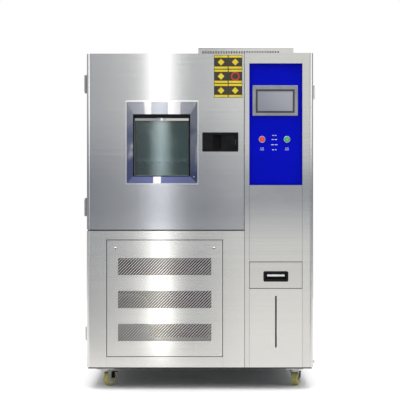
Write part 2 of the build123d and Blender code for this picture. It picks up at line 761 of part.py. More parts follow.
# Blower: motor outside the insulation, shaft through the wall, squirrel cage wheel inside
wheel_back = chamber_back - blower_panel_gap
wheel_y = (wheel_back - blower_width, wheel_back)
motor_front = wall_y[1] + motor_flange_thickness
with BuildPart() as blower_motor:
    with Locations((chamber_middle_x, wall_y[1] + motor_flange_thickness / 2, blower_height)):
        Box(motor_flange, motor_flange_thickness, motor_flange)
    rod_y(chamber_middle_x, (motor_front, motor_front + motor_length), blower_height, motor_radius)
    fillet(blower_motor.faces().sort_by(Axis.Y)[-1].edges(), 10.0)
    for rib in range(12):
        with Locations(Plane.XZ * Location((chamber_middle_x, blower_height, -motor_front - motor_length / 2))):
            with PolarLocations(motor_radius, 1, start_angle=30 * rib):
                Box(6, 4, motor_length - 40)
    rod_y(chamber_middle_x, (wall_y[1] - 1, motor_front + motor_shaft_depth), blower_height,
          shaft_radius + shaft_clearance, Mode.SUBTRACT)
save(blower_motor, "blower_motor")

with BuildPart() as blower_wheel:
    rod_y(chamber_middle_x, (wheel_y[0], wheel_y[0] + 2), blower_height, blower_radius)
    rod_y(chamber_middle_x, (wheel_y[0], wheel_y[0] + 2), blower_height, blower_radius - 26, Mode.SUBTRACT)
    rod_y(chamber_middle_x, (wheel_y[1] - 3, wheel_y[1]), blower_height, blower_radius)
    rod_y(chamber_middle_x, (wheel_y[1] - 30, wheel_y[1]), blower_height, 22.0)
    with Locations(Plane.XZ * Location((chamber_middle_x, blower_height, -sum(wheel_y) / 2))):
        with PolarLocations(blower_radius - 13, blower_blades):
            Box(24, 1.6, blower_width - 2, rotation=(0, 0, 32))
    rod_y(chamber_middle_x, (wheel_y[1] - 30, motor_front + motor_shaft_depth - 1), blower_height, shaft_radius)
save(blower_wheel, "blower_wheel")

# Heater ring around the blower and the evaporator coil below it
coil_x = grown(chamber_x, -25.0)
coil_y = (chamber_back - coil_depth - 12.0, chamber_back - 12.0)
coil_z = (chamber_z[0], chamber_z[0] + coil_height)
coil_fin_pitch = (coil_x[1] - coil_x[0] - 4.0) / (coil_fin_count - 1)
with BuildPart() as conditioning_coils:
    with Locations(Plane.XZ * Location((chamber_middle_x, blower_height, -wheel_y[0] - 20))):
        Torus(heater_ring_radius, heater_tube_radius)
    for leg_x in (-60.0, 60.0):
        leg_z = blower_height + math.sqrt(heater_ring_radius ** 2 - leg_x ** 2)
        rod_y(chamber_middle_x + leg_x, (wheel_y[0] + 20, chamber_back), leg_z, heater_tube_radius - 1)
    with Locations(((coil_x[0] + coil_x[1]) / 2, sum(coil_y) / 2, sum(coil_z) / 2)):
        with GridLocations(coil_fin_pitch, 1, coil_fin_count, 1):
            Box(1.0, coil_depth, coil_height)
    for tube_z in (coil_z[0] + 25.0, coil_z[0] + 70.0, coil_z[0] + 115.0):
        for tube_row in (coil_y[0] + 22.0, coil_y[1] - 22.0):
            rod_x((coil_x[0] - 12, coil_x[1] + 12), tube_row, tube_z, pipe_radius)
save(conditioning_coils, "conditioning_coils")

# Ledges along the side walls, and the shelf that rests on one pair
with BuildPart() as shelf_ledges:
    ledge_y = (post_back + plug_depth + 40.0, post_back + plug_depth + 40.0 + ledge_length - 60.0)
    for level in shelf_levels:
        for wall, inward in ((chamber_x[0], 1), (chamber_x[1], -1)):
            flat_x = sorted((wall, wall + inward * ledge_width))
            leg_x = sorted((wall, wall + inward * ledge_sheet))
            block(flat_x, ledge_y, (level - ledge_sheet, level))
            block(leg_x, ledge_y, (level - ledge_height, level))
save(shelf_ledges, "shelf_ledges")

shelf_x = grown(chamber_x, -shelf_side_gap)
shelf_foot = shelf_levels[shelf_level_used]
with BuildPart() as wire_shelf:
    block(shelf_x, ledge_y, (shelf_foot, shelf_foot + shelf_lip))
    block(grown(shelf_x, -shelf_sheet), grown(ledge_y, -shelf_sheet),
          (shelf_foot + shelf_sheet, shelf_foot + shelf_lip), Mode.SUBTRACT)
    slot_length = (ledge_y[1] - ledge_y[0] - (shelf_slot_rows + 1) * shelf_web) / shelf_slot_rows
    with Locations((chamber_middle_x, sum(ledge_y) / 2, shelf_foot)):
        with GridLocations(shelf_slot_width + shelf_web, slot_length + shelf_web, shelf_slot_columns,
                           shelf_slot_rows):
            Box(shelf_slot_width, slot_length, 4 * shelf_sheet, mode=Mode.SUBTRACT)
save(wire_shelf, "slotted_shelf")

# Door: a folded skin with one rounded edge, a foam core, a liner with a plug, and the gasket round it
door_x = (door_left, door_right)
door_z = (door_bottom, door_top)
window_x = (door_left + window_from_left, door_left + window_from_left + window_width)
window_z = (window_foot, window_foot + window_height)
window_hole_x = grown(window_x, bezel_tuck)
window_hole_z = grown(window_z, bezel_tuck)
plug_x = grown(chamber_x, -plug_clearance)
plug_z = grown(chamber_z, -plug_clearance)
plug_back = door_back + plug_depth
bolt_hole_y = grown(bolt_y, bolt_clearance)
bolt_hole_z = grown(bolt_z, bolt_clearance)


def door_plan(inset, y, foot):
    """The door seen from above, inset all round, with its rounded front edge."""
    with BuildSketch(Plane.XY.offset(foot)) as slab_plan:
        with Locations((door_left + inset, y[0])):
            Rectangle(door_width - 2 * inset, y[1] - y[0], align=(Align.MIN, Align.MIN))
        fillet(slab_plan.vertices().group_by(Axis.Y)[0].sort_by(Axis.X)[0], corner_radius - inset)
    return slab_plan.sketch


with BuildPart() as door_skin:
    extrude(door_plan(0, (front, door_back), door_z[0]), amount=door_z[1] - door_z[0])
    extrude(door_plan(sheet, (front + sheet, door_back + sheet), door_z[0] + sheet),
            amount=door_z[1] - door_z[0] - 2 * sheet, mode=Mode.SUBTRACT)
    block(window_hole_x, (front, front + 2 * sheet), window_hole_z, Mode.SUBTRACT)
    block(grown(latch_body_x, touch), (front, front + 2 * sheet), grown(latch_body_z, touch), Mode.SUBTRACT)
    block((door_right - 2 * sheet, door_right), bolt_hole_y, bolt_hole_z, Mode.SUBTRACT)
save(door_skin, "door_skin")

core_front = front + sheet
core_end = door_back - sheet
with BuildPart() as door_core:
    extrude(door_plan(sheet, (core_front, core_end), door_z[0] + sheet), amount=door_z[1] - door_z[0] - 2 * sheet)
    block(grown(plug_x, -sheet), (core_end, plug_back - sheet), grown(plug_z, -sheet))
    block(window_hole_x, (core_front, plug_back), window_hole_z, Mode.SUBTRACT)
    block(latch_body_x, (core_front, front + latch_body_depth), latch_body_z, Mode.SUBTRACT)
    block((latch_body_x[1], door_right), bolt_hole_y, bolt_hole_z, Mode.SUBTRACT)
save(door_core, "door_core")

with BuildPart() as door_liner:
    block(grown(door_x, -sheet), (core_end, door_back), grown(door_z, -sheet))
    block(plug_x, (core_end, plug_back), plug_z)
    block(grown(plug_x, -sheet), (core_end, plug_back - sheet), grown(plug_z, -sheet), Mode.SUBTRACT)
    block(window_hole_x, (core_end, plug_back), window_hole_z, Mode.SUBTRACT)
save(door_liner, "door_liner")

gasket_x = grown(chamber_x, gasket_inset + gasket_width)
gasket_z = grown(chamber_z, gasket_inset + gasket_width)
gasket_y = (door_back, rim_front - gasket_squeeze)
with BuildPart() as door_gasket:
    block(gasket_x, gasket_y, gasket_z)
    fillet(door_gasket.edges().filter_by(Axis.Y), 2 * gasket_width)
    block(grown(gasket_x, -gasket_width), gasket_y, grown(gasket_z, -gasket_width), Mode.SUBTRACT)
save(door_gasket, "door_gasket")

# Door window: polished bezel with sloping faces, seals, two panes and the throat between them
bezel_x = (window_x[0] - bezel_side, window_x[1] + bezel_right)
bezel_z = (window_z[0] - bezel_bottom, window_z[1] + bezel_top)
bezel_front = front - bezel_proud
pane_seat = front + bezel_depth
bead_x = grown(bezel_x, -bezel_bead)
bead_z = grown(bezel_z, -bezel_bead)
with BuildPart() as window_bezel:
    block(bezel_x, (bezel_front, front), bezel_z)
    fillet(window_bezel.faces().sort_by(Axis.Y)[0].edges(), bezel_round)
    block(grown(window_hole_x, -touch), (front, pane_seat), grown(window_hole_z, -touch))
    for face_y, span_x, span_z in ((bezel_front, bead_x, bead_z), (front, window_x, window_z)):
        with BuildSketch(Plane(origin=(sum(span_x) / 2, face_y, sum(span_z) / 2), x_dir=(1, 0, 0),
                               z_dir=(0, -1, 0))):
            Rectangle(span_x[1] - span_x[0], span_z[1] - span_z[0])
    loft(mode=Mode.SUBTRACT)
    block(window_x, (bezel_front, pane_seat), window_z, Mode.SUBTRACT)
save(window_bezel, "window_bezel")

with BuildPart() as window_gasket:
    seal_y = (pane_seat - window_gasket_thickness, pane_seat)
    block(grown(window_x, -touch), seal_y, grown(window_z, -touch))
    block(grown(window_x, -gasket_side), seal_y, (window_z[0] + gasket_bottom, window_z[1] - gasket_top),
          Mode.SUBTRACT)
save(window_gasket, "window_gasket")

pane_back = pane_seat + glass_thickness
with BuildPart() as window_panes:
    block(grown(window_hole_x, -glass_bite), (pane_seat, pane_back), grown(window_hole_z, -glass_bite))
    block(grown(window_hole_x, -glass_bite), (plug_back - glass_thickness, plug_back),
          grown(window_hole_z, -glass_bite))
save(window_panes, "window_panes")

with BuildPart() as window_throat:
    throat_y = (pane_back, plug_back - glass_thickness)
    block(grown(window_hole_x, -touch), throat_y, grown(window_hole_z, -touch))
    block(grown(window_hole_x, -throat_wall), throat_y, grown(window_hole_z, -throat_wall), Mode.SUBTRACT)
    spacer_y = (pane_back, pane_back + spacer_thickness)
    block(grown(window_hole_x, -throat_wall), spacer_y, grown(window_hole_z, -throat_wall))
    block(grown(window_x, -gasket_side - spacer_side), spacer_y,
          (window_z[0] + gasket_bottom + spacer_side, window_z[1] - gasket_top - spacer_top), Mode.SUBTRACT)
save(window_throat, "window_throat")

# Flush latch: cup, sprung paddle with an arm, and the bolt that the arm draws back
cavity_x = (latch_x[0] + well_from_left, latch_body_x[1] - latch_wall)
cavity_z = grown(latch_body_z, -latch_wall)
with BuildPart() as latch_housing:
    block(latch_x, (latch_front, front), latch_z)
    fillet(latch_housing.edges().filter_by(Axis.Y), latch_corner)
    chamfer(latch_housing.faces().sort_by(Axis.Y)[0].edges(), 1.5)
    block(latch_body_x, (front, front + latch_body_depth), latch_body_z)
    block(grown(latch_x, -latch_rim), (latch_front, latch_face), grown(latch_z, -latch_rim), Mode.SUBTRACT)
    block(cavity_x, (latch_front, front + latch_body_depth - latch_wall), cavity_z, Mode.SUBTRACT)
    block((cavity_x[1], latch_body_x[1]), bolt_hole_y, bolt_hole_z, Mode.SUBTRACT)
    rod_z(pivot_x, pivot_y, grown(cavity_z, latch_wall - 1), paddle_pivot_radius + paddle_pivot_clearance,
          Mode.SUBTRACT)
save(latch_housing, "latch_housing")

paddle_x = (paddle_right - paddle_width, paddle_right)
paddle_z = grown(cavity_z, -paddle_clearance)
with BuildPart() as latch_paddle:
    with BuildSketch(Plane.XY.offset(paddle_z[0])):
        with BuildLine():
            Polyline((paddle_x[1], latch_face), (paddle_x[0], latch_face),
                     (paddle_x[0] - paddle_lip, latch_face + paddle_lip_drop),
                     (paddle_x[0] - paddle_lip, latch_face + paddle_lip_drop + paddle_thickness / 2),
                     (paddle_x[0], latch_face + paddle_thickness), (paddle_x[1], latch_face + paddle_thickness),
                     close=True)
        make_face()
    extrude(amount=paddle_z[1] - paddle_z[0])
    rod_z(pivot_x, pivot_y, grown(cavity_z, latch_wall - 1.5), paddle_pivot_radius)
    arm_z = (latch_middle_z - paddle_arm_height / 2, latch_middle_z + paddle_arm_height / 2)
    block((pivot_x - paddle_arm_width / 2, pivot_x + paddle_arm_width / 2), (pivot_y, pivot_y + paddle_arm), arm_z)
    rod_z(pivot_x, pivot_y + paddle_arm, arm_z, paddle_knob_radius)
save(latch_paddle, "latch_paddle")

bolt_slot = paddle_knob_radius + bolt_fork_gap
with BuildPart() as latch_bolt:
    block((pivot_x - bolt_slot - 5, bolt_tip), bolt_y, bolt_z)
    chamfer(latch_bolt.faces().sort_by(Axis.X)[-1].edges().sort_by(Axis.Y)[-1], 4.0)
    block((pivot_x - bolt_slot, pivot_x + bolt_slot), bolt_y, grown(arm_z, 1.0), Mode.SUBTRACT)
save(latch_bolt, "latch_bolt")

# Hinges: fixed leaves with their pins, the strike of the latch, and the door's leaves
hinge_x = left - hinge_stand_off
hinge_y = (door_back + post_back) / 2
knuckle = hinge_height / 3
knuckle_room = hinge_knuckle_radius + 0.5
leaf_x = (left - hinge_leaf_thickness, left)
with BuildPart() as cabinet_hinges:
    for foot in (lower_hinge_foot, upper_hinge_foot):
        hinge_z = (foot, foot + hinge_height)
        door_knuckle_z = (foot + knuckle, foot + 2 * knuckle)
        block(leaf_x, (hinge_y + 1, hinge_y + hinge_leaf_width), hinge_z)
        rod_z(hinge_x, hinge_y, hinge_z, hinge_knuckle_radius)
        rod_z(hinge_x, hinge_y, door_knuckle_z, knuckle_room, Mode.SUBTRACT)
        rod_z(hinge_x, hinge_y, hinge_z, hinge_pin_radius)
        finial_z = (foot - 7, foot) if foot == upper_hinge_foot else (hinge_z[1], hinge_z[1] + 7)
        rod_z(hinge_x, hinge_y, finial_z, hinge_finial_radius)
    block((column_left - strike_sheet, column_left),
          (sum(bolt_y) / 2 - strike_width / 2, sum(bolt_y) / 2 + strike_width / 2),
          (latch_middle_z - strike_height / 2, latch_middle_z + strike_height / 2))
    block((column_left - 2 * strike_sheet, column_left), grown(bolt_y, strike_clearance),
          grown(bolt_z, strike_clearance), Mode.SUBTRACT)
save(cabinet_hinges, "cabinet_hinges")

with BuildPart() as door_hinges:
    for foot in (lower_hinge_foot, upper_hinge_foot):
        hinge_z = (foot, foot + hinge_height)
        door_knuckle_z = (foot + knuckle + 0.3, foot + 2 * knuckle - 0.3)
        block(leaf_x, (hinge_y - hinge_leaf_width, hinge_y - 1), hinge_z)
        block((hinge_x, left), (hinge_y - 5, hinge_y - 1), door_knuckle_z)
        for side_z in ((foot - 1, foot + knuckle + 0.3), (foot + 2 * knuckle - 0.3, hinge_z[1] + 1)):
            rod_z(hinge_x, hinge_y, side_z, knuckle_room, Mode.SUBTRACT)
        rod_z(hinge_x, hinge_y, door_knuckle_z, hinge_knuckle_radius)
        rod_z(hinge_x, hinge_y, door_knuckle_z, hinge_pin_radius + hinge_pin_clearance, Mode.SUBTRACT)
save(door_hinges, "door_hinges")

# Casters: fixed plates with king pins, forks that swivel with their axles, and wheels
king_pins = {
    "front_left": (left + caster_axis_inset_x, front + caster_axis_inset_y),
    "front_right": (right - caster_axis_inset_x, front + caster_axis_inset_y),
    "rear_left": (left + caster_axis_inset_x, back - caster_axis_inset_y),
    "rear_right": (right - caster_axis_inset_x, back - caster_axis_inset_y),
}
plate_foot = caster_height - caster_plate_thickness
race_foot = plate_foot - swivel_race_height
fork_top = race_foot - swivel_clearance
fork_under = fork_top - fork_sheet
with BuildPart() as caster_plates:
    for pin_x, pin_y in king_pins.values():
        with Locations((pin_x, pin_y, (plate_foot + caster_height) / 2)):
            Box(caster_plate_width, caster_plate_length, caster_plate_thickness)
        rod_z(pin_x, pin_y, (race_foot, plate_foot), swivel_race_radius)
        rod_z(pin_x, pin_y, (fork_under - swivel_clearance - axle_head, race_foot), king_pin_radius)
        rod_z(pin_x, pin_y, (fork_under - swivel_clearance - axle_head, fork_under - swivel_clearance),
              axle_head_radius + 2)
save(caster_plates, "caster_plates")


def caster_plane(name):
    """An upright plane through a king pin: local x runs along the trail and local y is up."""
    heading = math.radians(caster_headings[name])
    return Plane(origin=(*king_pins[name], 0), x_dir=(math.cos(heading), math.sin(heading), 0),
                 z_dir=(math.sin(heading), -math.cos(heading), 0))


arm_inside = wheel_width / 2 + fork_gap
arm_outside = arm_inside + fork_sheet
for corner in king_pins:
    upright = caster_plane(corner)
    pin_x, pin_y = king_pins[corner]
    with BuildPart() as caster_fork:
        with BuildSketch(Plane(origin=(pin_x, pin_y, fork_under), x_dir=upright.x_dir)):
            Circle(fork_head_radius)
            with Locations((fork_head_radius / 2, 0)):
                Rectangle(fork_head_radius, 2 * arm_outside)
        extrude(amount=fork_sheet)
        for start, direction in ((arm_inside, 1), (-arm_inside, -1)):
            with BuildSketch(upright.offset(start)):
                with Locations((caster_trail, wheel_radius)):
                    Circle(fork_arm_radius)
                with Locations((fork_head_radius / 2, fork_top - fork_sheet / 2)):
                    Rectangle(fork_head_radius, fork_sheet)
                make_hull()
            extrude(amount=direction * fork_sheet)
        with BuildSketch(upright.offset(-arm_outside - axle_head / 2)):
            with Locations((caster_trail, wheel_radius)):
                Circle(axle_radius)
        extrude(amount=2 * arm_outside + axle_head)
        for start, direction in ((arm_outside, 1), (-arm_outside, -1)):
            with BuildSketch(upright.offset(start)):
                with Locations((caster_trail, wheel_radius)):
                    Circle(axle_head_radius)
            extrude(amount=direction * axle_head)
        rod_z(pin_x, pin_y, (fork_under, fork_top), king_pin_radius + swivel_clearance, Mode.SUBTRACT)
    save(caster_fork, f"caster_fork_{corner}")

    with BuildPart() as caster_wheel:
        hub = upright.offset(-wheel_width / 2)
        with BuildSketch(hub):
            with Locations((caster_trail, wheel_radius)):
                Circle(wheel_radius)
        extrude(amount=wheel_width)
        rims = caster_wheel.edges().filter_by(GeomType.CIRCLE)
        fillet(rims, 4.0)
        with BuildSketch(upright.offset(-wheel_groove_width / 2)):
            with Locations((caster_trail, wheel_radius)):
                Circle(wheel_radius)
                Circle(wheel_radius - wheel_groove_depth, mode=Mode.SUBTRACT)
        extrude(amount=wheel_groove_width, mode=Mode.SUBTRACT)
        for start, direction in ((wheel_width / 2, -1), (-wheel_width / 2, 1)):
            with BuildSketch(upright.offset(start)):
                with Locations((caster_trail, wheel_radius)):
                    Circle(wheel_radius - 9)
                    Circle(axle_head_radius + 2, mode=Mode.SUBTRACT)
            extrude(amount=direction * 5.0, mode=Mode.SUBTRACT)
        with BuildSketch(hub):
            with Locations((caster_trail, wheel_radius)):
                Circle(axle_radius + wheel_bore_clearance)
        extrude(amount=wheel_width, mode=Mode.SUBTRACT)
    save(caster_wheel, f"caster_wheel_{corner}")

# Bow grips low on the left side and high on the right side
grip_y = front + grip_from_front
with BuildPart() as side_grips:
    for side, outward, middle in ((left, -1, left_grip_height), (right, 1, right_grip_height)):
        with BuildLine():
            FilletPolyline((side, grip_y, middle - grip_height / 2 + grip_bar / 2),
                           (side + outward * (grip_reach - grip_bar / 2), grip_y,
                            middle - grip_height / 2 + grip_bar / 2),
                           (side + outward * (grip_reach - grip_bar / 2), grip_y,
                            middle + grip_height / 2 - grip_bar / 2),
                           (side, grip_y, middle + grip_height / 2 - grip_bar / 2), radius=grip_bar)
        with BuildSketch(Plane(origin=(side, grip_y, middle - grip_height / 2 + grip_bar / 2),
                               z_dir=(outward, 0, 0))):
            Circle(grip_bar / 2)
        sweep()
        for end in (-1, 1):
            foot_z = middle + end * (grip_height / 2 - grip_bar / 2)
            rod_x(sorted((side, side + outward * 2.0)), grip_y, foot_z, grip_foot_radius)
save(side_grips, "side_grips")

# Drain stub at the lower right
drain_y = front + drain_from_front
with BuildPart() as drain_spigot:
    rod_x((right - drain_tail, right + drain_reach), drain_y, drain_height, drain_radius)
    rod_x((right, right + drain_flange_thickness), drain_y, drain_height, drain_flange_radius)
    rod_x((right - drain_tail, right + drain_reach), drain_y, drain_height, drain_bore, Mode.SUBTRACT)
save(drain_spigot, "drain_spigot")

# Compressor on the bay floor: domed shell on a foot plate
compressor_x = left + compressor_from_left
compressor_y = front + compressor_from_front
shell_foot = bay_floor + compressor_foot
with BuildPart() as compressor:
    with Locations((compressor_x, compressor_y, bay_floor + compressor_foot / 2)):
        Box(1.9 * compressor_radius, 1.9 * compressor_radius, compressor_foot)
    rod_z(compressor_x, compressor_y, (shell_foot, shell_foot + compressor_height), compressor_radius)
    fillet(compressor.faces().sort_by(Axis.Z)[-1].edges(), compressor_radius * 0.6)
    for stub_height in (60.0, compressor_height - 80.0):
        rod_x((compressor_x + compressor_radius - 6, compressor_x + compressor_radius + 24), compressor_y,
              shell_foot + stub_height, pipe_radius + 3)
save(compressor, "compressor")

# Condenser at the back, with its fan and shroud inside it and the pipes to the compressor
condenser_y = (back - condenser_from_back - condenser_thickness, back - condenser_from_back)
condenser_z = (bay_floor, bay_floor + condenser_height)
fin_pitch = (condenser_width - 8.0) / (condenser_fins - 1)
with BuildPart() as condenser_coil:
    with Locations((condenser_middle, sum(condenser_y) / 2, sum(condenser_z) / 2)):
        with GridLocations(fin_pitch, 1, condenser_fins, 1):
            Box(1.0, condenser_thickness, condenser_height)
    for row in range(5):
        rod_x(grown(condenser_x, 12.0), sum(condenser_y) / 2, condenser_z[0] + 50.0 + 75.0 * row, pipe_radius)
save(condenser_coil, "condenser_coil")

shroud_y = (condenser_y[0] - shroud_depth, condenser_y[0] - touch)
fan_y = (shroud_y[0] + 8.0, shroud_y[0] + 8.0 + fan_depth)
fan_motor_y = (shroud_y[0] - fan_motor_length, shroud_y[0])
with BuildPart() as fan_shroud:
    block(condenser_x, shroud_y, condenser_z)
    block(grown(condenser_x, -shroud_sheet), (shroud_y[0] + shroud_sheet, shroud_y[1]),
          grown(condenser_z, -shroud_sheet), Mode.SUBTRACT)
    rod_y(condenser_middle, shroud_y, fan_height, fan_radius + fan_tip_gap, Mode.SUBTRACT)
    for strut_angle in (0, 90):
        with Locations(Plane.XZ * Location((condenser_middle, fan_height, -shroud_y[0] + fan_strut / 4),
                                           (0, 0, strut_angle + 45))):
            Box(2 * (fan_radius + 3 * fan_tip_gap), fan_strut, fan_strut / 2)
    rod_y(condenser_middle, fan_motor_y, fan_height, fan_motor_radius)
    fillet(fan_shroud.faces().sort_by(Axis.Y)[0].edges(), 6.0)
    rod_y(condenser_middle, (fan_motor_y[1] - 25.0, shroud_y[1]), fan_height, fan_pin_radius + shaft_clearance,
          Mode.SUBTRACT)
save(fan_shroud, "fan_shroud")

with BuildPart() as condenser_fan:
    rod_y(condenser_middle, fan_y, fan_height, fan_hub_radius)
    with Locations(Plane.XZ * Location((condenser_middle, fan_height, -sum(fan_y) / 2))):
        with PolarLocations((fan_radius + fan_hub_radius) / 2 - 2, fan_blades):
            Box(fan_radius - fan_hub_radius + 2, 72.0, 2.0, rotation=(16, 0, 0))
    rod_y(condenser_middle, (fan_motor_y[1] - 24.0, fan_y[0]), fan_height, fan_pin_radius)
save(condenser_fan, "condenser_fan")

# Electrical plate behind the control column, with its switchgear
board_y = (post_back + 120.0, post_back + 120.0 + board_length)
board_x = (right - sheet - 40.0, right - sheet - 40.0 + board_sheet)
with BuildPart() as electrical_plate:
    block(board_x, board_y, (board_foot, board_foot + board_height))
    for standoff_y in (board_y[0] + 20, board_y[1] - 20):
        for standoff_z in (board_foot + 30, board_foot + board_height - 30):
            rod_x((board_x[1], right - sheet), standoff_y, standoff_z, 6.0)
    for rail in range(3):
        rail_z = board_foot + 80 + 150 * rail
        block((board_x[0] - 8, board_x[0]), (board_y[0] + 20, board_y[1] - 20), (rail_z, rail_z + 35))
        for device in range(5):
            device_y = board_y[0] + 30 + 55 * device
            block((board_x[0] - 70, board_x[0] - 8), (device_y, device_y + 45), (rail_z - 22, rail_z + 57))
save(electrical_plate, "electrical_plate")
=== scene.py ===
"""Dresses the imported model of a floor-standing test chamber: finishes, printed marks, screws, casters and light."""

from __future__ import annotations

import json
import logging
import math
from dataclasses import dataclass, field
from enum import Enum
from typing import Iterable, Mapping, Sequence

import bmesh
import bpy
from mathutils import Matrix, Vector

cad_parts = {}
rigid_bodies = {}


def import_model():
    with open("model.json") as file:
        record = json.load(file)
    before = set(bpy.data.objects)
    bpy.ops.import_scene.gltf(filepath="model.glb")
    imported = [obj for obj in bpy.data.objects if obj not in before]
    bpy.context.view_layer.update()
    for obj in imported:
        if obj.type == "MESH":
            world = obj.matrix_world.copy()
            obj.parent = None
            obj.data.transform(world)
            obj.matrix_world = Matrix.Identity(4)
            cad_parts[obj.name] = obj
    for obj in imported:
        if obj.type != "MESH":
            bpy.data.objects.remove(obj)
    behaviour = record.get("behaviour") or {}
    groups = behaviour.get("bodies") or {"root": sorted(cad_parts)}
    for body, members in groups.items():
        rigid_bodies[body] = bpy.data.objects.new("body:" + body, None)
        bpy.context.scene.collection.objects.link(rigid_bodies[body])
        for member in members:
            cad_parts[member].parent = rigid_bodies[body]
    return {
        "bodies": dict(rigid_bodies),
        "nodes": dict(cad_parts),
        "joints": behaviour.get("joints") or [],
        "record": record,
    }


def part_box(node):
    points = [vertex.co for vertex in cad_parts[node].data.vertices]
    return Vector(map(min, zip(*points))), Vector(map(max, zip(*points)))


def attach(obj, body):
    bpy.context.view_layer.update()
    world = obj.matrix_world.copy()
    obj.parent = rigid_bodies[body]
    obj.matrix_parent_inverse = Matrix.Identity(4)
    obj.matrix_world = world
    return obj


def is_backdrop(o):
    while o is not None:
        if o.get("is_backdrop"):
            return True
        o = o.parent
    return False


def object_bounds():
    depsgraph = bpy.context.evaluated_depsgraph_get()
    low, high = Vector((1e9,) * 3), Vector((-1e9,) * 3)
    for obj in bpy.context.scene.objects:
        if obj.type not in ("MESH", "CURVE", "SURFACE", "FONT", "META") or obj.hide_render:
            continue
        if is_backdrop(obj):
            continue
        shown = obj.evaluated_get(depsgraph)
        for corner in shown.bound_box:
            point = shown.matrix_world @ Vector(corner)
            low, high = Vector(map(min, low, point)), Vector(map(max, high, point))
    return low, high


LOG = logging.getLogger("chamber")
MM = 0.001
CABINET_CORNER = 20.0 * MM
SHEET_SKIN = 0.8 * MM
SMOOTH_BELOW = math.radians(35)
MERGE_DISTANCE = 1e-6
Colour = tuple[float, float, float]
Node, Socket = bpy.types.Node, bpy.types.NodeSocket
WHITE: Colour = (1.0, 1.0, 1.0)


class Facing(Enum):
    """The way that a turned shape looks, as the turn that brings +Z there."""

    FRONT = Matrix.Rotation(math.radians(90), 4, "X")
    UP = Matrix.Identity(4)


def tinted(colour: Colour, share: float, lift: float = 0.0) -> Colour:
    """Returns a colour with each part scaled and then lifted, to 1 at most."""
    return tuple(min(1.0, share * part + lift) for part in colour)


def placed(name: str, data: bpy.types.ID) -> bpy.types.Object:
    """Returns a new object of a mesh, light or camera, linked to the scene at the origin."""
    thing = bpy.data.objects.new(name, data)
    bpy.context.scene.collection.objects.link(thing)
    return thing


class Tree:
    """A node tree with short calls to add and wire its nodes."""

    def __init__(self, tree: bpy.types.NodeTree) -> None:
        """Starts on the node tree of a material, world or group."""
        self.tree = tree

    def feed(self, node: Node, values: Mapping[str | int, object]) -> None:
        """Sets or wires inputs of a node.

        Args:
            node: the node to feed.
            values: for each input, a plain value or an output socket to wire to it.
        """
        for key, value in values.items():
            if isinstance(value, Socket):
                self.tree.links.new(value, node.inputs[key])
            else:
                node.inputs[key].default_value = value

    def add(self, kind: str, values: Mapping[str | int, object] | None = None,
            **attributes: object) -> Node:
        """Adds one node.

        Args:
            kind: the node's type name.
            values: its inputs, as for feed.
            attributes: settings of the node itself.

        Returns:
            The new node.
        """
        node = self.tree.nodes.new(kind)
        for name, value in attributes.items():
            setattr(node, name, value)
        self.feed(node, values or {})
        return node

    def find(self, kind: str) -> Node:
        """Returns the first node of a type."""
        return next(node for node in self.tree.nodes if node.type == kind)

    def math(self, operation: str, first: object, second: object = 0.0) -> Socket:
        """Adds a Math node on values or sockets and returns its result."""
        return self.add("ShaderNodeMath", {0: first, 1: second}, operation=operation).outputs[0]

    def vector(self, operation: str, first: object, second: object | None = None) -> Node:
        """Adds a Vector Math node on one or two vectors or sockets and returns it."""
        values = {0: first} if second is None else {0: first, 1: second}
        return self.add("ShaderNodeVectorMath", values, operation=operation)

    def span(self, value: object, low: float, high: float, to_low: float = 0.0, to_high: float = 1.0,
             smooth: bool = False) -> Socket:
        """Maps a value from one range to another, clamped.

        Args:
            value: the socket to map.
            low: start of the range read.
            high: end of the range read.
            to_low: result at low.
            to_high: result at high.
            smooth: ease in and out instead of a straight ramp.

        Returns:
            The result's socket.
        """
        kind = "SMOOTHSTEP" if smooth else "LINEAR"
        node = self.add("ShaderNodeMapRange", {"Value": value, "From Min": low, "From Max": high,
                                               "To Min": to_low, "To Max": to_high}, interpolation_type=kind)
        return node.outputs["Result"]

    def mix(self, factor: object, first: object, second: object, blend: str = "MIX") -> Socket:
        """Mixes two colours.

        Args:
            factor: share of the second colour.
            first: colour or socket.
            second: colour or socket.
            blend: the way they mix.

        Returns:
            The mixed colour's socket.
        """
        node = self.add("ShaderNodeMix", {"Factor": factor}, data_type="RGBA", blend_type=blend)
        for index, value in ((6, first), (7, second)):
            self.feed(node, {index: value if isinstance(value, Socket) else (*value, 1.0)})
        return node.outputs[2]

    def noise(self, place: object, scale: object, detail: float, **more: float) -> Socket:
        """Adds a noise on some coordinates, with further inputs by name, and returns its socket."""
        values = {"Vector": place, "Scale": scale, "Detail": detail, **more}
        return self.add("ShaderNodeTexNoise", values).outputs[0]

    def parts(self, vector: object) -> bpy.types.NodeOutputs:
        """Returns the X, Y and Z sockets of a vector."""
        return self.add("ShaderNodeSeparateXYZ", {0: vector}).outputs

    def group(self, shared: bpy.types.NodeTree, **values: object) -> bpy.types.NodeOutputs:
        """Places a shared group, fed by name, and returns its outputs."""
        return self.add("ShaderNodeGroup", values, node_tree=shared).outputs


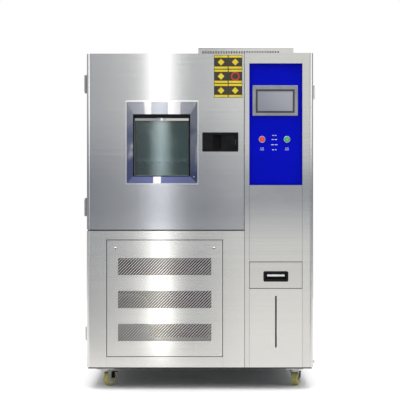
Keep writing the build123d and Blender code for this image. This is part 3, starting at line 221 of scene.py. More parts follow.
class Effects:
    """Shader node groups that several finishes share, each built once."""

    def __init__(self) -> None:
        """Builds all groups."""
        self.grain = self._grain()
        self.clouds = self._clouds()
        self.dust = self._dust()
        self.inner = self._inner()

    @staticmethod
    def _start(name: str, inputs: Mapping[str, float | None], outputs: Iterable[str]) -> tuple:
        """Makes an empty group with its sockets.

        Args:
            name: the group's name.
            inputs: default of each value input, None for a vector.
            outputs: names of the value outputs.

        Returns:
            The group, its Tree, the sockets that it is given and its output node.
        """
        group = bpy.data.node_groups.new(name, "ShaderNodeTree")
        for label, default in inputs.items():
            kind = "NodeSocketVector" if default is None else "NodeSocketFloat"
            socket = group.interface.new_socket(label, in_out="INPUT", socket_type=kind)
            if default is not None:
                socket.default_value = default
        for label in outputs:
            group.interface.new_socket(label, in_out="OUTPUT", socket_type="NodeSocketFloat")
        tree = Tree(group)
        return group, tree, tree.add("NodeGroupInput").outputs, tree.add("NodeGroupOutput")

    def _grain(self) -> bpy.types.NodeTree:
        """Long thin streaks: a coarse and a fine noise drawn out by a stretch."""
        group, tree, given, result = self._start("brushed_grain", {"Vector": None, "Stretch": None},
                                                 ("Streak", "Height"))
        drawn = tree.vector("MULTIPLY", given["Vector"], given["Stretch"]).outputs[0]
        fine = tree.noise(drawn, 1.0, 3.0, Roughness=0.65)
        broad = tree.noise(drawn, 0.22, 2.0, Roughness=0.5)
        total = tree.math("ADD", tree.math("MULTIPLY", fine, 0.6), tree.math("MULTIPLY", broad, 0.4))
        tree.feed(result, {"Streak": tree.span(total, 0.3, 0.7), "Height": fine})
        return group

    def _clouds(self) -> bpy.types.NodeTree:
        """Broad soft patches, as of handling, cleaning and slight waves in a sheet."""
        group, tree, given, result = self._start("soft_clouds", {"Vector": None, "Scale": 3.0}, ("Cloud",))
        noise = tree.noise(given["Vector"], given["Scale"], 4.0, Roughness=0.55, Distortion=0.3)
        tree.feed(result, {"Cloud": tree.span(noise, 0.3, 0.7, smooth=True)})
        return group

    def _dust(self) -> bpy.types.NodeTree:
        """Fine dust that lies on faces that look up."""
        group, tree, given, result = self._start(
            "settled_dust", {"Vector": None, "Normal": None, "Amount": 0.3}, ("Dust",))
        speck = tree.noise(given["Vector"], 60.0, 5.0)
        lying = tree.span(tree.parts(given["Normal"])["Z"], 0.5, 1.0)
        spread = tree.math("MULTIPLY", lying, tree.span(speck, 0.35, 0.75, 0.2, 1.0))
        tree.feed(result, {"Dust": tree.math("MULTIPLY", spread, given["Amount"])})
        return group

    def _inner(self) -> bpy.types.NodeTree:
        """Tells the inner side of the cabinet's sheets from the brushed outer side; the finish paints that side dark,
        partly for the unbrushed back and partly as painted shade.
        """
        group, tree, given, result = self._start("inner_side", {"Vector": None, "Amount": 1.0}, ("Inside",))
        low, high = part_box("side_panels")
        reach = (high.x - low.x) / 2 - CABINET_CORNER
        parts = tree.parts(given["Vector"])
        past_x, past_y = (tree.math("SUBTRACT", tree.math("ABSOLUTE", parts[axis]), reach) for axis in "XY")
        beyond = tree.add("ShaderNodeCombineXYZ", {"X": tree.math("MAXIMUM", past_x, 0.0),
                                                   "Y": tree.math("MAXIMUM", past_y, 0.0)})
        outside = tree.vector("LENGTH", beyond.outputs[0]).outputs["Value"]
        deep = tree.math("MINIMUM", tree.math("MAXIMUM", past_x, past_y), 0.0)
        depth = tree.math("SUBTRACT", tree.math("ADD", outside, deep), CABINET_CORNER)
        within = tree.math("LESS_THAN", depth, -SHEET_SKIN)
        under = tree.math("LESS_THAN", parts["Z"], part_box("roof_panel")[1].z - SHEET_SKIN)
        both = tree.math("MULTIPLY", within, under)
        tree.feed(result, {"Inside": tree.math("MULTIPLY", both, given["Amount"])})
        return group


class Finish:
    """Base of the finishes: starts a material, places the shared groups and holds the usual settings."""

    effects: Effects
    cloud_scale = 4.0
    darker = 0.9
    smoothest = 0.0
    roughest = 1.0
    relief = 0.2
    relief_depth = 0.3 * MM

    def make(self) -> bpy.types.Material:
        """Makes the material on a new Principled shader and the Object coordinates."""
        material = bpy.data.materials.new(self.name)
        material.use_nodes = True
        tree = Tree(material.node_tree)
        self.wire(tree, tree.find("BSDF_PRINCIPLED"), tree.add("ShaderNodeTexCoord").outputs["Object"])
        return material

    def wire(self, tree: Tree, shader: Node, place: Socket) -> None:
        """Feeds the shader in the finish's own way.

        Args:
            tree: the material's Tree.
            shader: its Principled shader.
            place: the Object coordinates.
        """
        raise NotImplementedError

    def cloud(self, tree: Tree, place: object) -> Socket:
        """Places the soft clouds at the finish's own scale."""
        return tree.group(self.effects.clouds, Vector=place, Scale=self.cloud_scale)["Cloud"]

    def dusting(self, tree: Tree, place: object) -> Socket:
        """Places the settled dust, as much of it as the finish holds."""
        normal = tree.add("ShaderNodeNewGeometry").outputs["Normal"]
        return tree.group(self.effects.dust, Vector=place, Normal=normal, Amount=self.dust)["Dust"]

    def toned(self, tree: Tree, share: object) -> Socket:
        """Mixes the finish's colour into its darker tone."""
        return tree.mix(share, tinted(self.colour, self.darker), self.colour)

    def rough(self, tree: Tree, share: object) -> Socket:
        """Maps a share to the finish's range of roughness."""
        return tree.span(share, 0.0, 1.0, self.smoothest, self.roughest)

    def bump(self, tree: Tree, shader: Node, height: object) -> None:
        """Feeds a height to the shader's normal."""
        node = tree.add("ShaderNodeBump", {"Height": height, "Strength": self.relief,
                                           "Distance": self.relief_depth})
        tree.feed(shader, {"Normal": node.outputs[0]})


@dataclass(frozen=True)
class SatinSteel(Finish):
    """Rolled stainless sheet with a fine grain, lighter and darker tones, a little dust on top, an optional painted
    shade band down its height and a dark inner side that is partly painted shade.
    """

    name: str
    light: Colour
    dark: Colour
    stretch: tuple = (2.2, 2.2, 640.0)
    cloud_scale: float = 2.6
    roughness: float = 0.135
    streaking: float = 0.02
    anisotropy: float = 0.97
    brushed_along: Colour = (0.0, 0.05, 1.0)
    relief: float = 0.02
    relief_depth: float = 0.1 * MM
    # Painted shade band: the heights where it starts and ends, its colour, its strength and its weakest share.
    painted_shade_low: float = 0.0
    painted_shade_high: float = 0.0
    painted_shade_colour: Colour = (0.27, 0.29, 0.34)
    painted_shade_strength: float = 0.0
    painted_shade_least: float = 0.7
    dust: float = 0.12
    dust_colour: Colour = (0.70, 0.68, 0.63)
    dust_roughness: float = 0.5
    hidden: float = 0.0
    # Inner side: very dark, partly the unbrushed back of the sheet, partly painted shade of the closed cabinet.
    inner_dark_and_shade_colour: Colour = (0.12, 0.12, 0.125)
    inner_roughness: float = 0.45

    def wire(self, tree: Tree, shader: Node, place: Socket) -> None:
        """Streaks the sheet, paints a darker, bluer shade band down its height as a painted reflection of a dim room,
        and darkens its inner side, partly as painted shade.
        """
        grain = tree.group(self.effects.grain, Vector=place, Stretch=self.stretch)
        cloud = self.cloud(tree, place)
        colour = tree.mix(grain["Streak"], self.dark, self.light)
        # Painted shade: a darker, bluer band down the height stands in for the dim room that the front reflects.
        if self.painted_shade_strength:
            height = tree.parts(place)["Z"]
            middle = (self.painted_shade_low + self.painted_shade_high) / 2
            rise = tree.span(height, self.painted_shade_low, middle, smooth=True)
            fall = tree.span(height, middle, self.painted_shade_high, 1.0, 0.0, True)
            uneven = tree.span(cloud, 0.0, 1.0, self.painted_shade_least * self.painted_shade_strength, self.painted_shade_strength)
            colour = tree.mix(tree.math("MULTIPLY", tree.math("MULTIPLY", rise, fall), uneven), colour,
                              self.painted_shade_colour)
        dust = self.dusting(tree, place)
        colour = tree.mix(dust, colour, self.dust_colour)
        # The inner side is painted dark: partly the dull back, partly painted shade.
        inside = tree.group(self.effects.inner, Vector=place, Amount=self.hidden)["Inside"]
        rough = tree.math("ADD", tree.span(grain["Streak"], 0.0, 1.0, self.roughness - self.streaking,
                                           self.roughness + self.streaking),
                          tree.span(cloud, 0.0, 1.0, -self.streaking / 2, self.streaking))
        for cover, added in ((inside, self.inner_roughness), (dust, self.dust_roughness)):
            rough = tree.math("ADD", rough, tree.math("MULTIPLY", cover, added))
        along = tree.add("ShaderNodeCombineXYZ", dict(zip("XYZ", self.brushed_along))).outputs[0]
        tree.feed(shader, {"Base Color": tree.mix(inside, colour, self.inner_dark_and_shade_colour), "Roughness": rough,
                           "Metallic": 1.0, "Anisotropic": self.anisotropy, "Tangent": along})
        self.bump(tree, shader, grain["Height"])


@dataclass(frozen=True)
class Polished(Finish):
    """Mirror polished or plated metal with faint wipe marks."""

    name: str
    colour: Colour = (0.86, 0.86, 0.85)
    roughness: float = 0.05
    wiping: float = 0.06
    cloud_scale: float = 14.0
    darker: float = 0.93
    relief: float = 0.08
    relief_depth: float = 0.4 * MM

    def wire(self, tree: Tree, shader: Node, place: Socket) -> None:
        """Wipes the metal with soft clouds."""
        cloud = self.cloud(tree, place)
        tree.feed(shader, {"Base Color": self.toned(tree, cloud), "Metallic": 1.0,
                           "Roughness": tree.span(cloud, 0.0, 1.0, self.roughness, self.roughness + self.wiping)})
        self.bump(tree, shader, cloud)


@dataclass(frozen=True)
class MirrorTrim(Finish):
    """Mirror-polished frame with its reflections painted into its colour: a painted highlight along the rim and as a
    glint low on the foot, pale and darker painted reflection bars at the head, turning into a bluer painted reflection
    towards the foot.
    """

    name: str
    node: str = "window_bezel"
    # The colours below are painted light: the first is the painted highlight of rim and glint, the next two are the
    # light and dark painted reflection bars, and the last is the bluer painted reflection towards the foot.
    bright: Colour = (0.95, 0.95, 0.93)
    clear: Colour = (0.80, 0.81, 0.84)
    dull: Colour = (0.40, 0.42, 0.48)
    painted_blue_reflection: Colour = (0.15, 0.17, 0.33)
    # Heights where the painted reflection turns from pale to blue, and soft patches that break up that border.
    top: float = 1.19
    foot: float = 0.98
    patch: float = 0.08
    patch_range: tuple = (0.35, 0.65)
    patch_scale: tuple = (9.0, 9.0, 16.0)
    patch_turn: tuple = (0.0, 0.5, 0.0)
    reflection_bar_range: tuple = (0.44, 0.52)
    reflection_bar_scale: tuple = (26.0, 1.0, 3.0)
    rim: float = 5.0 * MM
    rim_fade: tuple = (0.8, 1.1)
    glint: float = 16.0 * MM
    glint_fade: tuple = (0.9, 1.2)
    glint_shift: float = -22.0 * MM
    glint_height: float = 34.0 * MM
    smoothest: float = 0.07
    roughest: float = 0.112

    def wire(self, tree: Tree, shader: Node, place: Socket) -> None:
        """Paints the reflections down the height, their border broken up by soft slanting patches, and paints the
        highlights on the rim and the glint.
        """
        low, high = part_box(self.node)
        parts = tree.parts(place)
        across, height = parts["X"], parts["Z"]
        slant = tree.add("ShaderNodeMapping", {"Vector": place, "Scale": self.patch_scale,
                                               "Rotation": self.patch_turn}).outputs[0]
        cloud = tree.noise(slant, 1.0, 1.0)
        # Upright painted reflection bars, standing in for the room's lights seen in the mirror.
        upright = tree.add("ShaderNodeMapping", {"Vector": place, "Scale": self.reflection_bar_scale}).outputs[0]
        bars = tree.span(tree.noise(upright, 1.0, 0.0), *self.reflection_bar_range, smooth=True)
        shifted = tree.math("ADD", height, tree.span(cloud, *self.patch_range, -self.patch, self.patch, True))
        colour = tree.mix(tree.span(shifted, self.top, self.foot, smooth=True),
                          tree.mix(bars, self.clear, self.dull), self.painted_blue_reflection)
        edges = [tree.math("SUBTRACT", first, second) for first, second in
                 ((across, low.x), (high.x, across), (height, low.z), (high.z, height))]
        nearest = tree.math("MINIMUM", tree.math("MINIMUM", *edges[:2]), tree.math("MINIMUM", *edges[2:]))
        middle = (low.x + high.x) / 2 + self.glint_shift
        off = tree.math("ABSOLUTE", tree.math("SUBTRACT", across, middle))
        # Painted highlights: a bright rim along every edge and an upright glint low on the foot.
        rim, glint = (tree.span(away, *(reach * share for share in fade), 1.0, 0.0, True)
                      for away, reach, fade in ((nearest, self.rim, self.rim_fade),
                                                (off, self.glint, self.glint_fade)))
        glint = tree.math("MULTIPLY", glint, tree.math("LESS_THAN", height, low.z + self.glint_height))
        tree.feed(shader, {"Base Color": tree.mix(tree.math("MAXIMUM", rim, glint), colour, self.bright),
                           "Metallic": 1.0, "Roughness": self.rough(tree, cloud)})


@dataclass(frozen=True)
class Moulded(Finish):
    """Moulded plastic or rubber with a fine grain skin."""

    name: str
    colour: Colour
    roughness: float = 0.5
    uneven: float = 0.05
    lighter: tuple = (1.12, 0.006)
    cloud_scale: float = 18.0
    skin: float = 900.0
    skin_roughness: float = 0.03
    relief: float = 0.15
    coat: float = 0.0
    coat_roughness: float = 0.08
    shine: float = 0.5
    dust: float = 0.1
    dust_colour: Colour = (0.55, 0.54, 0.50)

    def wire(self, tree: Tree, shader: Node, place: Socket) -> None:
        """Grains the skin and lays dust on it."""
        cloud = self.cloud(tree, place)
        colour = tree.mix(cloud, tinted(self.colour, self.darker), tinted(self.colour, *self.lighter))
        skin = tree.noise(place, self.skin, 2.0)
        rough = tree.math("ADD", tree.span(cloud, 0.0, 1.0, self.roughness - self.uneven,
                                           self.roughness + self.uneven),
                          tree.span(skin, 0.3, 0.7, -self.skin_roughness, self.skin_roughness))
        dusty = tree.mix(self.dusting(tree, place), colour, self.dust_colour)
        tree.feed(shader, {"Base Color": dusty, "Roughness": rough, "Coat Weight": self.coat,
                           "Coat Roughness": self.coat_roughness, "Specular IOR Level": self.shine})
        self.bump(tree, shader, skin)


@dataclass(frozen=True)
class Powder(Finish):
    """Powder coat or enamel with a faint orange peel, a little uneven in tone."""

    name: str
    colour: Colour
    roughness: float = 0.3
    uneven: tuple = (-0.03, 0.04)
    darker: float = 0.86
    peel: float = 260.0
    peel_roughness: float = 0.02
    shine: float = 0.5
    coat: float = 0.3
    coat_roughness: float = 0.12

    def wire(self, tree: Tree, shader: Node, place: Socket) -> None:
        """Ripples the coat."""
        cloud = self.cloud(tree, place)
        peel = tree.noise(place, self.peel, 1.5)
        rough = tree.math("ADD", tree.span(cloud, 0.0, 1.0, *(self.roughness + part for part in self.uneven)),
                          tree.span(peel, 0.3, 0.7, -self.peel_roughness, self.peel_roughness))
        tree.feed(shader, {"Base Color": self.toned(tree, cloud), "Roughness": rough,
                           "Specular IOR Level": self.shine, "Coat Weight": self.coat,
                           "Coat Roughness": self.coat_roughness})
        self.bump(tree, shader, peel)


@dataclass(frozen=True)
class Pane(Finish):
    """Coated double glazing, faintly green, with a haze of cleaning marks."""

    name: str = "window_glass"
    colour: Colour = (0.62, 0.76, 0.74)
    cloud_scale: float = 9.0
    smoothest: float = 0.01
    roughest: float = 0.05
    bending: float = 1.52
    coat: float = 0.5
    coat_bending: float = 1.7

    def wire(self, tree: Tree, shader: Node, place: Socket) -> None:
        """Hazes the glass."""
        cloud = self.cloud(tree, place)
        tree.feed(shader, {"Base Color": self.toned(tree, cloud), "Roughness": self.rough(tree, cloud),
                           "Transmission Weight": 1.0, "IOR": self.bending, "Coat Weight": self.coat,
                           "Coat IOR": self.coat_bending})


@dataclass(frozen=True)
class Foam(Finish):
    """Rigid foam with small cells."""

    name: str = "wall_foam"
    colour: Colour = (0.80, 0.72, 0.48)
    cells: float = 420.0
    cell_reach: float = 0.7
    darker: float = 0.7
    roughness: float = 0.95
    relief: float = 0.4
    relief_depth: float = 1.0 * MM

    def wire(self, tree: Tree, shader: Node, place: Socket) -> None:
        """Pits the foam with cells and paints their hollows darker as painted shade."""
        cells = tree.add("ShaderNodeTexVoronoi", {"Vector": place, "Scale": self.cells})
        near = tree.span(cells.outputs["Distance"], 0.0, self.cell_reach)
        # Painted shade: the cell hollows are painted darker.
        tree.feed(shader, {"Base Color": self.toned(tree, near), "Roughness": self.roughness})
        self.bump(tree, shader, near)


@dataclass(frozen=True)
class Display(Finish):
    """Unlit touch display: lavender grey under gloss, with a painted sheen that lightens it towards one corner."""

    name: str = "display_glass"
    low: Colour = (0.27, 0.28, 0.34)
    high: Colour = (0.42, 0.43, 0.49)
    cloud_scale: float = 22.0
    smoothest: float = 0.14
    roughest: float = 0.24
    coat: float = 0.6
    coat_roughness: float = 0.06

    def wire(self, tree: Tree, shader: Node, place: Socket) -> None:
        """Paints a lighter sheen towards one corner as a painted reflection."""
        parts = tree.parts(place)
        low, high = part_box("screen_display")
        # Painted reflection: the colour turns lighter towards one corner.
        sheen = tree.span(tree.math("ADD", parts["X"], parts["Z"]), low.x + low.z, high.x + high.z, smooth=True)
        tree.feed(shader, {"Base Color": tree.mix(sheen, self.low, self.high), "Coat Weight": self.coat,
                           "Coat Roughness": self.coat_roughness,
                           "Roughness": self.rough(tree, self.cloud(tree, place))})


@dataclass(frozen=True)
class Lens(Finish):
    """Coloured translucent cap of a push button, painted lighter at its middle as a painted highlight, with a faint
    painted glow.
    """

    name: str
    colour: Colour
    centre: str
    painted_highlight_tint: tuple = (1.5, 0.05)
    ring_pitch: float = 6000.0
    smoothest: float = 0.16
    roughest: float = 0.28
    coat: float = 0.5
    painted_glow: float = 0.12
    relief: float = 0.15
    relief_depth: float = 0.2 * MM

    def wire(self, tree: Tree, shader: Node, place: Socket) -> None:
        """Paints the middle lighter as a painted highlight, adds a faint painted glow and rings the cap."""
        low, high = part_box(self.centre)
        moved = tree.vector("SUBTRACT", place, (low + high) / 2).outputs[0]
        flat = tree.vector("MULTIPLY", moved, (1, 0, 1)).outputs[0]
        away = tree.vector("LENGTH", flat).outputs["Value"]
        near = tree.span(away, 0.0, (high.x - low.x) / 2, 1.0, 0.0, True)
        # Painted highlight: the middle of the cap is painted lighter.
        colour = tree.mix(near, self.colour, tinted(self.colour, *self.painted_highlight_tint))
        rings = tree.math("SINE", tree.math("MULTIPLY", away, self.ring_pitch))
        # A faint painted glow in the cap's own colour.
        tree.feed(shader, {"Base Color": colour, "Emission Color": colour, "Emission Strength": self.painted_glow,
                           "Roughness": tree.span(rings, -1.0, 1.0, self.smoothest, self.roughest),
                           "Coat Weight": self.coat})
        self.bump(tree, shader, rings)


@dataclass(frozen=True)
class Tread(Finish):
    """Cast polyurethane tyre, rubbed grey where it has rolled."""

    name: str = "caster_tread"
    colour: Colour = (0.58, 0.54, 0.17)
    rubbed: tuple = (0.7, 0.07)
    cloud_scale: float = 60.0
    smoothest: float = 0.3
    roughest: float = 0.5
    grain: float = 700.0

    def wire(self, tree: Tree, shader: Node, place: Socket) -> None:
        """Rubs the tyre."""
        cloud = self.cloud(tree, place)
        tree.feed(shader, {"Base Color": tree.mix(cloud, tinted(self.colour, *self.rubbed), self.colour),
                           "Roughness": self.rough(tree, cloud)})
        self.bump(tree, shader, tree.noise(place, self.grain, 2.0))


@dataclass
class Piece:
    """A new piece in the making: its bmesh and how it is kept once finished."""

    name: str
    body: str
    slot: str
    finish: str
    mesh: bmesh.types.BMesh = field(default_factory=bmesh.new)

    def soften(self, width: float, segments: int = 2, angle: float = 30.0) -> None:
        """Rounds every edge sharper than an angle.

        Args:
            width: bevel width in metres.
            segments: number of facets.
            angle: smallest angle between faces, in degrees.
        """
        edges = [edge for edge in self.mesh.edges
                 if len(edge.link_faces) == 2 and edge.calc_face_angle(0.0) > math.radians(angle)]
        bmesh.ops.bevel(self.mesh, geom=edges, affect="EDGES", offset=width, segments=segments, profile=0.5,
                        material=-1)

    def keep(self, smooth: bool = True) -> None:
        """Turns the bmesh into an object at the origin that rides on its body.

        Args:
            smooth: shade smoothly across all but sharp edges.
        """
        bmesh.ops.recalc_face_normals(self.mesh, faces=self.mesh.faces)
        data = bpy.data.meshes.new(self.name)
        self.mesh.to_mesh(data)
        self.mesh.free()
        data.materials.append(bpy.data.materials[self.finish])
        thing = placed(self.name, data)
        if smooth:
            data.shade_smooth()
            data.set_sharp_from_angle(angle=SMOOTH_BELOW)
        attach(thing, self.body)
        LOG.info("%s rides on %s with %d faces", self.name, self.body, len(data.polygons))

    def slab(self, low: Sequence[float], high: Sequence[float]) -> list[bmesh.types.BMVert]:
        """Adds a box between two corners.

        Args:
            low: lowest corner in metres.
            high: highest corner in metres.

        Returns:
            Its vertices.
        """
        low, high = Vector(low), Vector(high)
        made = bmesh.ops.create_cube(self.mesh, size=1.0)["verts"]
        bmesh.ops.scale(self.mesh, vec=high - low, verts=made)
        bmesh.ops.translate(self.mesh, vec=(low + high) / 2, verts=made)
        return made

    def turned(self, profile: Sequence[tuple[float, float]], at: Sequence[float], facing: Facing,
               steps: int = 32) -> list[bmesh.types.BMVert]:
        """Adds a turned shape: a profile of (radius, height) spun round an axis that looks out of the object.

        Args:
            profile: radius and height pairs in metres, from the axis to the axis.
            at: where the axis meets height 0.
            facing: the way the axis looks.
            steps: facets round the axis.

        Returns:
            Its vertices.
        """
        before = set(self.mesh.verts)
        points = [self.mesh.verts.new((radius, 0.0, height)) for radius, height in profile]
        edges = [self.mesh.edges.new(pair) for pair in zip(points, points[1:])]
        bmesh.ops.spin(self.mesh, geom=points + edges, cent=(0, 0, 0), axis=(0, 0, 1), angle=math.tau,
                       steps=steps, use_merge=True, use_duplicate=False)
        made = [vert for vert in self.mesh.verts if vert not in before]
        bmesh.ops.remove_doubles(self.mesh, verts=made, dist=MERGE_DISTANCE)
        made = [vert for vert in self.mesh.verts if vert not in before]
        bmesh.ops.transform(self.mesh, matrix=Matrix.Translation(at) @ facing.value, verts=made)
        return made


@dataclass
class Studio:
    """Pale floor, soft lights, a light room all round and the camera.

    A flat front reflects the room by its direction: upright_bands shade it from side to side, level_bands from
    below to above.
    """

    camera_height: float = 0.834
    camera_distance: float = 5.0
    focal_length: float = 102.2
    sensor: float = 36.0
    far: float = 60.0
    floor_width: float = 14.0
    floor_front: float = -1.7
    floor_back: float = 4.0
    floor_tones: tuple = ((0.90, 0.90, 0.90), (0.93, 0.93, 0.93))
    floor_reflected: Colour = (0.55, 0.545, 0.53)
    lamps: tuple = (("left_bank", (-3.6, -2.6, 1.7), (0.0, -0.4, 0.8), (1.2, 2.6), 10.0),
                    ("right_bank", (3.8, -2.0, 1.7), (0.0, -0.4, 0.8), (1.2, 2.6), 9.0),
                    ("top_bank", (0.0, 0.2, 3.8), (0.0, 0.0, 0.0), (4.0, 4.0), 95.0))
    room_level: Colour = (0.36, 0.365, 0.38)
    room_above: Colour = (2.0, 2.0, 2.0)
    band_share: float = 0.92
    upright_reach: float = 0.14
    upright_bands: tuple = (
        (-0.14, (0.46, 0.47, 0.49)), (-0.095, (0.44, 0.45, 0.47)), (-0.075, (0.56, 0.56, 0.56)),
        (-0.045, (0.62, 0.62, 0.62)), (-0.034, (4.40, 4.34, 4.24)), (-0.024, (0.43, 0.43, 0.43)),
        (-0.004, (0.41, 0.42, 0.43)), (0.02, (0.70, 0.70, 0.69)), (0.04, (0.86, 0.85, 0.82)),
        (0.14, (0.84, 0.83, 0.80)))
    level_reach: float = 0.6
    level_bands: tuple = (
        (-0.6, (0.60, 0.60, 0.62)), (-0.34, (0.50, 0.52, 0.56)), (-0.17, (1.30, 1.28, 1.24)),
        (-0.05, (0.82, 0.83, 0.86)), (0.0, (0.36, 0.40, 0.47)), (0.05, (0.68, 0.71, 0.77)),
        (0.12, (1.0, 1.0, 0.99)), (0.3, (0.85, 0.87, 0.92)), (0.6, (0.75, 0.78, 0.86)))

    def camera(self) -> None:
        """Places a level camera straight in front of the door."""
        data = bpy.data.cameras.new("camera")
        data.lens, data.sensor_width, data.clip_end = self.focal_length, self.sensor, self.far
        thing = placed("camera", data)
        thing.location = (0.0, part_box("door_skin")[0].y - self.camera_distance, self.camera_height)
        thing.rotation_euler = (math.radians(90), 0.0, 0.0)
        bpy.context.scene.camera = thing

    def floor(self) -> None:
        """Makes the pale floor, as deep in front of the object as the camera sees it, dimmer in reflections."""
        mesh = bmesh.new()
        made = bmesh.ops.create_grid(mesh, x_segments=8, y_segments=8, size=0.5)["verts"]
        bmesh.ops.scale(mesh, vec=(self.floor_width, self.floor_back - self.floor_front, 1.0), verts=made)
        bmesh.ops.translate(mesh, vec=(0.0, (self.floor_back + self.floor_front) / 2, 0.0), verts=made)
        data = bpy.data.meshes.new("floor")
        mesh.to_mesh(data)
        mesh.free()
        data.shade_smooth()
        material = bpy.data.materials.new("floor_paper")
        material.use_nodes = True
        tree = Tree(material.node_tree)
        noise = tree.noise(tree.add("ShaderNodeTexCoord").outputs["Object"], 2.0, 3.0)
        paper = tree.mix(tree.span(noise, 0.3, 0.7), *self.floor_tones)
        seen = tree.add("ShaderNodeLightPath").outputs["Is Camera Ray"]
        tree.feed(tree.find("BSDF_PRINCIPLED"), {"Base Color": tree.mix(seen, self.floor_reflected, paper),
                                                 "Roughness": 0.6})
        data.materials.append(material)
        thing = placed("floor", data)
        thing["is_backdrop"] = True

    def lights(self) -> None:
        """Adds the soft rectangular lights: name, centre, aim, size and watts of each."""
        for name, centre, aim, size, power in self.lamps:
            data = bpy.data.lights.new(name, "AREA")
            data.shape, data.energy = "RECTANGLE", power
            data.size, data.size_y = size
            thing = placed(name, data)
            thing.location = centre
            thing.rotation_euler = (Vector(aim) - Vector(centre)).to_track_quat("-Z", "Z").to_euler()

    def sky(self) -> None:
        """Wraps the room in pale light: bright overhead, banded where the front of the object reflects it."""
        world = bpy.data.worlds.new("room")
        bpy.context.scene.world = world
        world.use_nodes = True
        tree = Tree(world.node_tree)
        way = tree.parts(tree.add("ShaderNodeTexCoord").outputs["Generated"])
        room = tree.mix(tree.span(way["Z"], 0.25, 0.9, smooth=True), self.room_level, self.room_above)
        facing = tree.span(way["Y"], -0.97, -0.72, 1.0, 0.0, True)
        banded = tree.mix(1.0, self.bands(tree, way["X"], self.upright_reach, self.upright_bands),
                          self.bands(tree, way["Z"], self.level_reach, self.level_bands), "MULTIPLY")
        room = tree.mix(tree.math("MULTIPLY", facing, self.band_share), room, banded)
        seen = tree.add("ShaderNodeLightPath").outputs["Is Camera Ray"]
        tree.feed(tree.find("BACKGROUND"), {"Color": tree.mix(seen, room, WHITE), "Strength": 1.0})

    @staticmethod
    def bands(tree: Tree, part: Socket, reach: float,
              stops: Sequence[tuple[float, Colour]]) -> Socket:
        """Shades the room in soft bands along one part of the direction.

        Args:
            tree: the world's Tree.
            part: the sideways or upward part of the direction.
            reach: the ramp runs from minus this to plus this.
            stops: where along that part each colour stands.

        Returns:
            The colour's socket.
        """
        ramp = tree.add("ShaderNodeValToRGB", {0: tree.span(part, -reach, reach)})
        held = ramp.color_ramp.elements
        while len(held) < len(stops):
            held.new(0.5)
        for stop, (position, colour) in zip(held, stops):
            stop.position = (position + reach) / (2 * reach)
            stop.color = (*colour, 1.0)
        return ramp.outputs["Color"]

    def build(self) -> None:
        """Builds camera, floor, lights and sky."""
        self.camera()
        self.floor()
        self.lights()
        self.sky()
        bpy.context.scene.view_settings.view_transform = "Standard"
        bpy.context.scene.view_settings.look = "None"


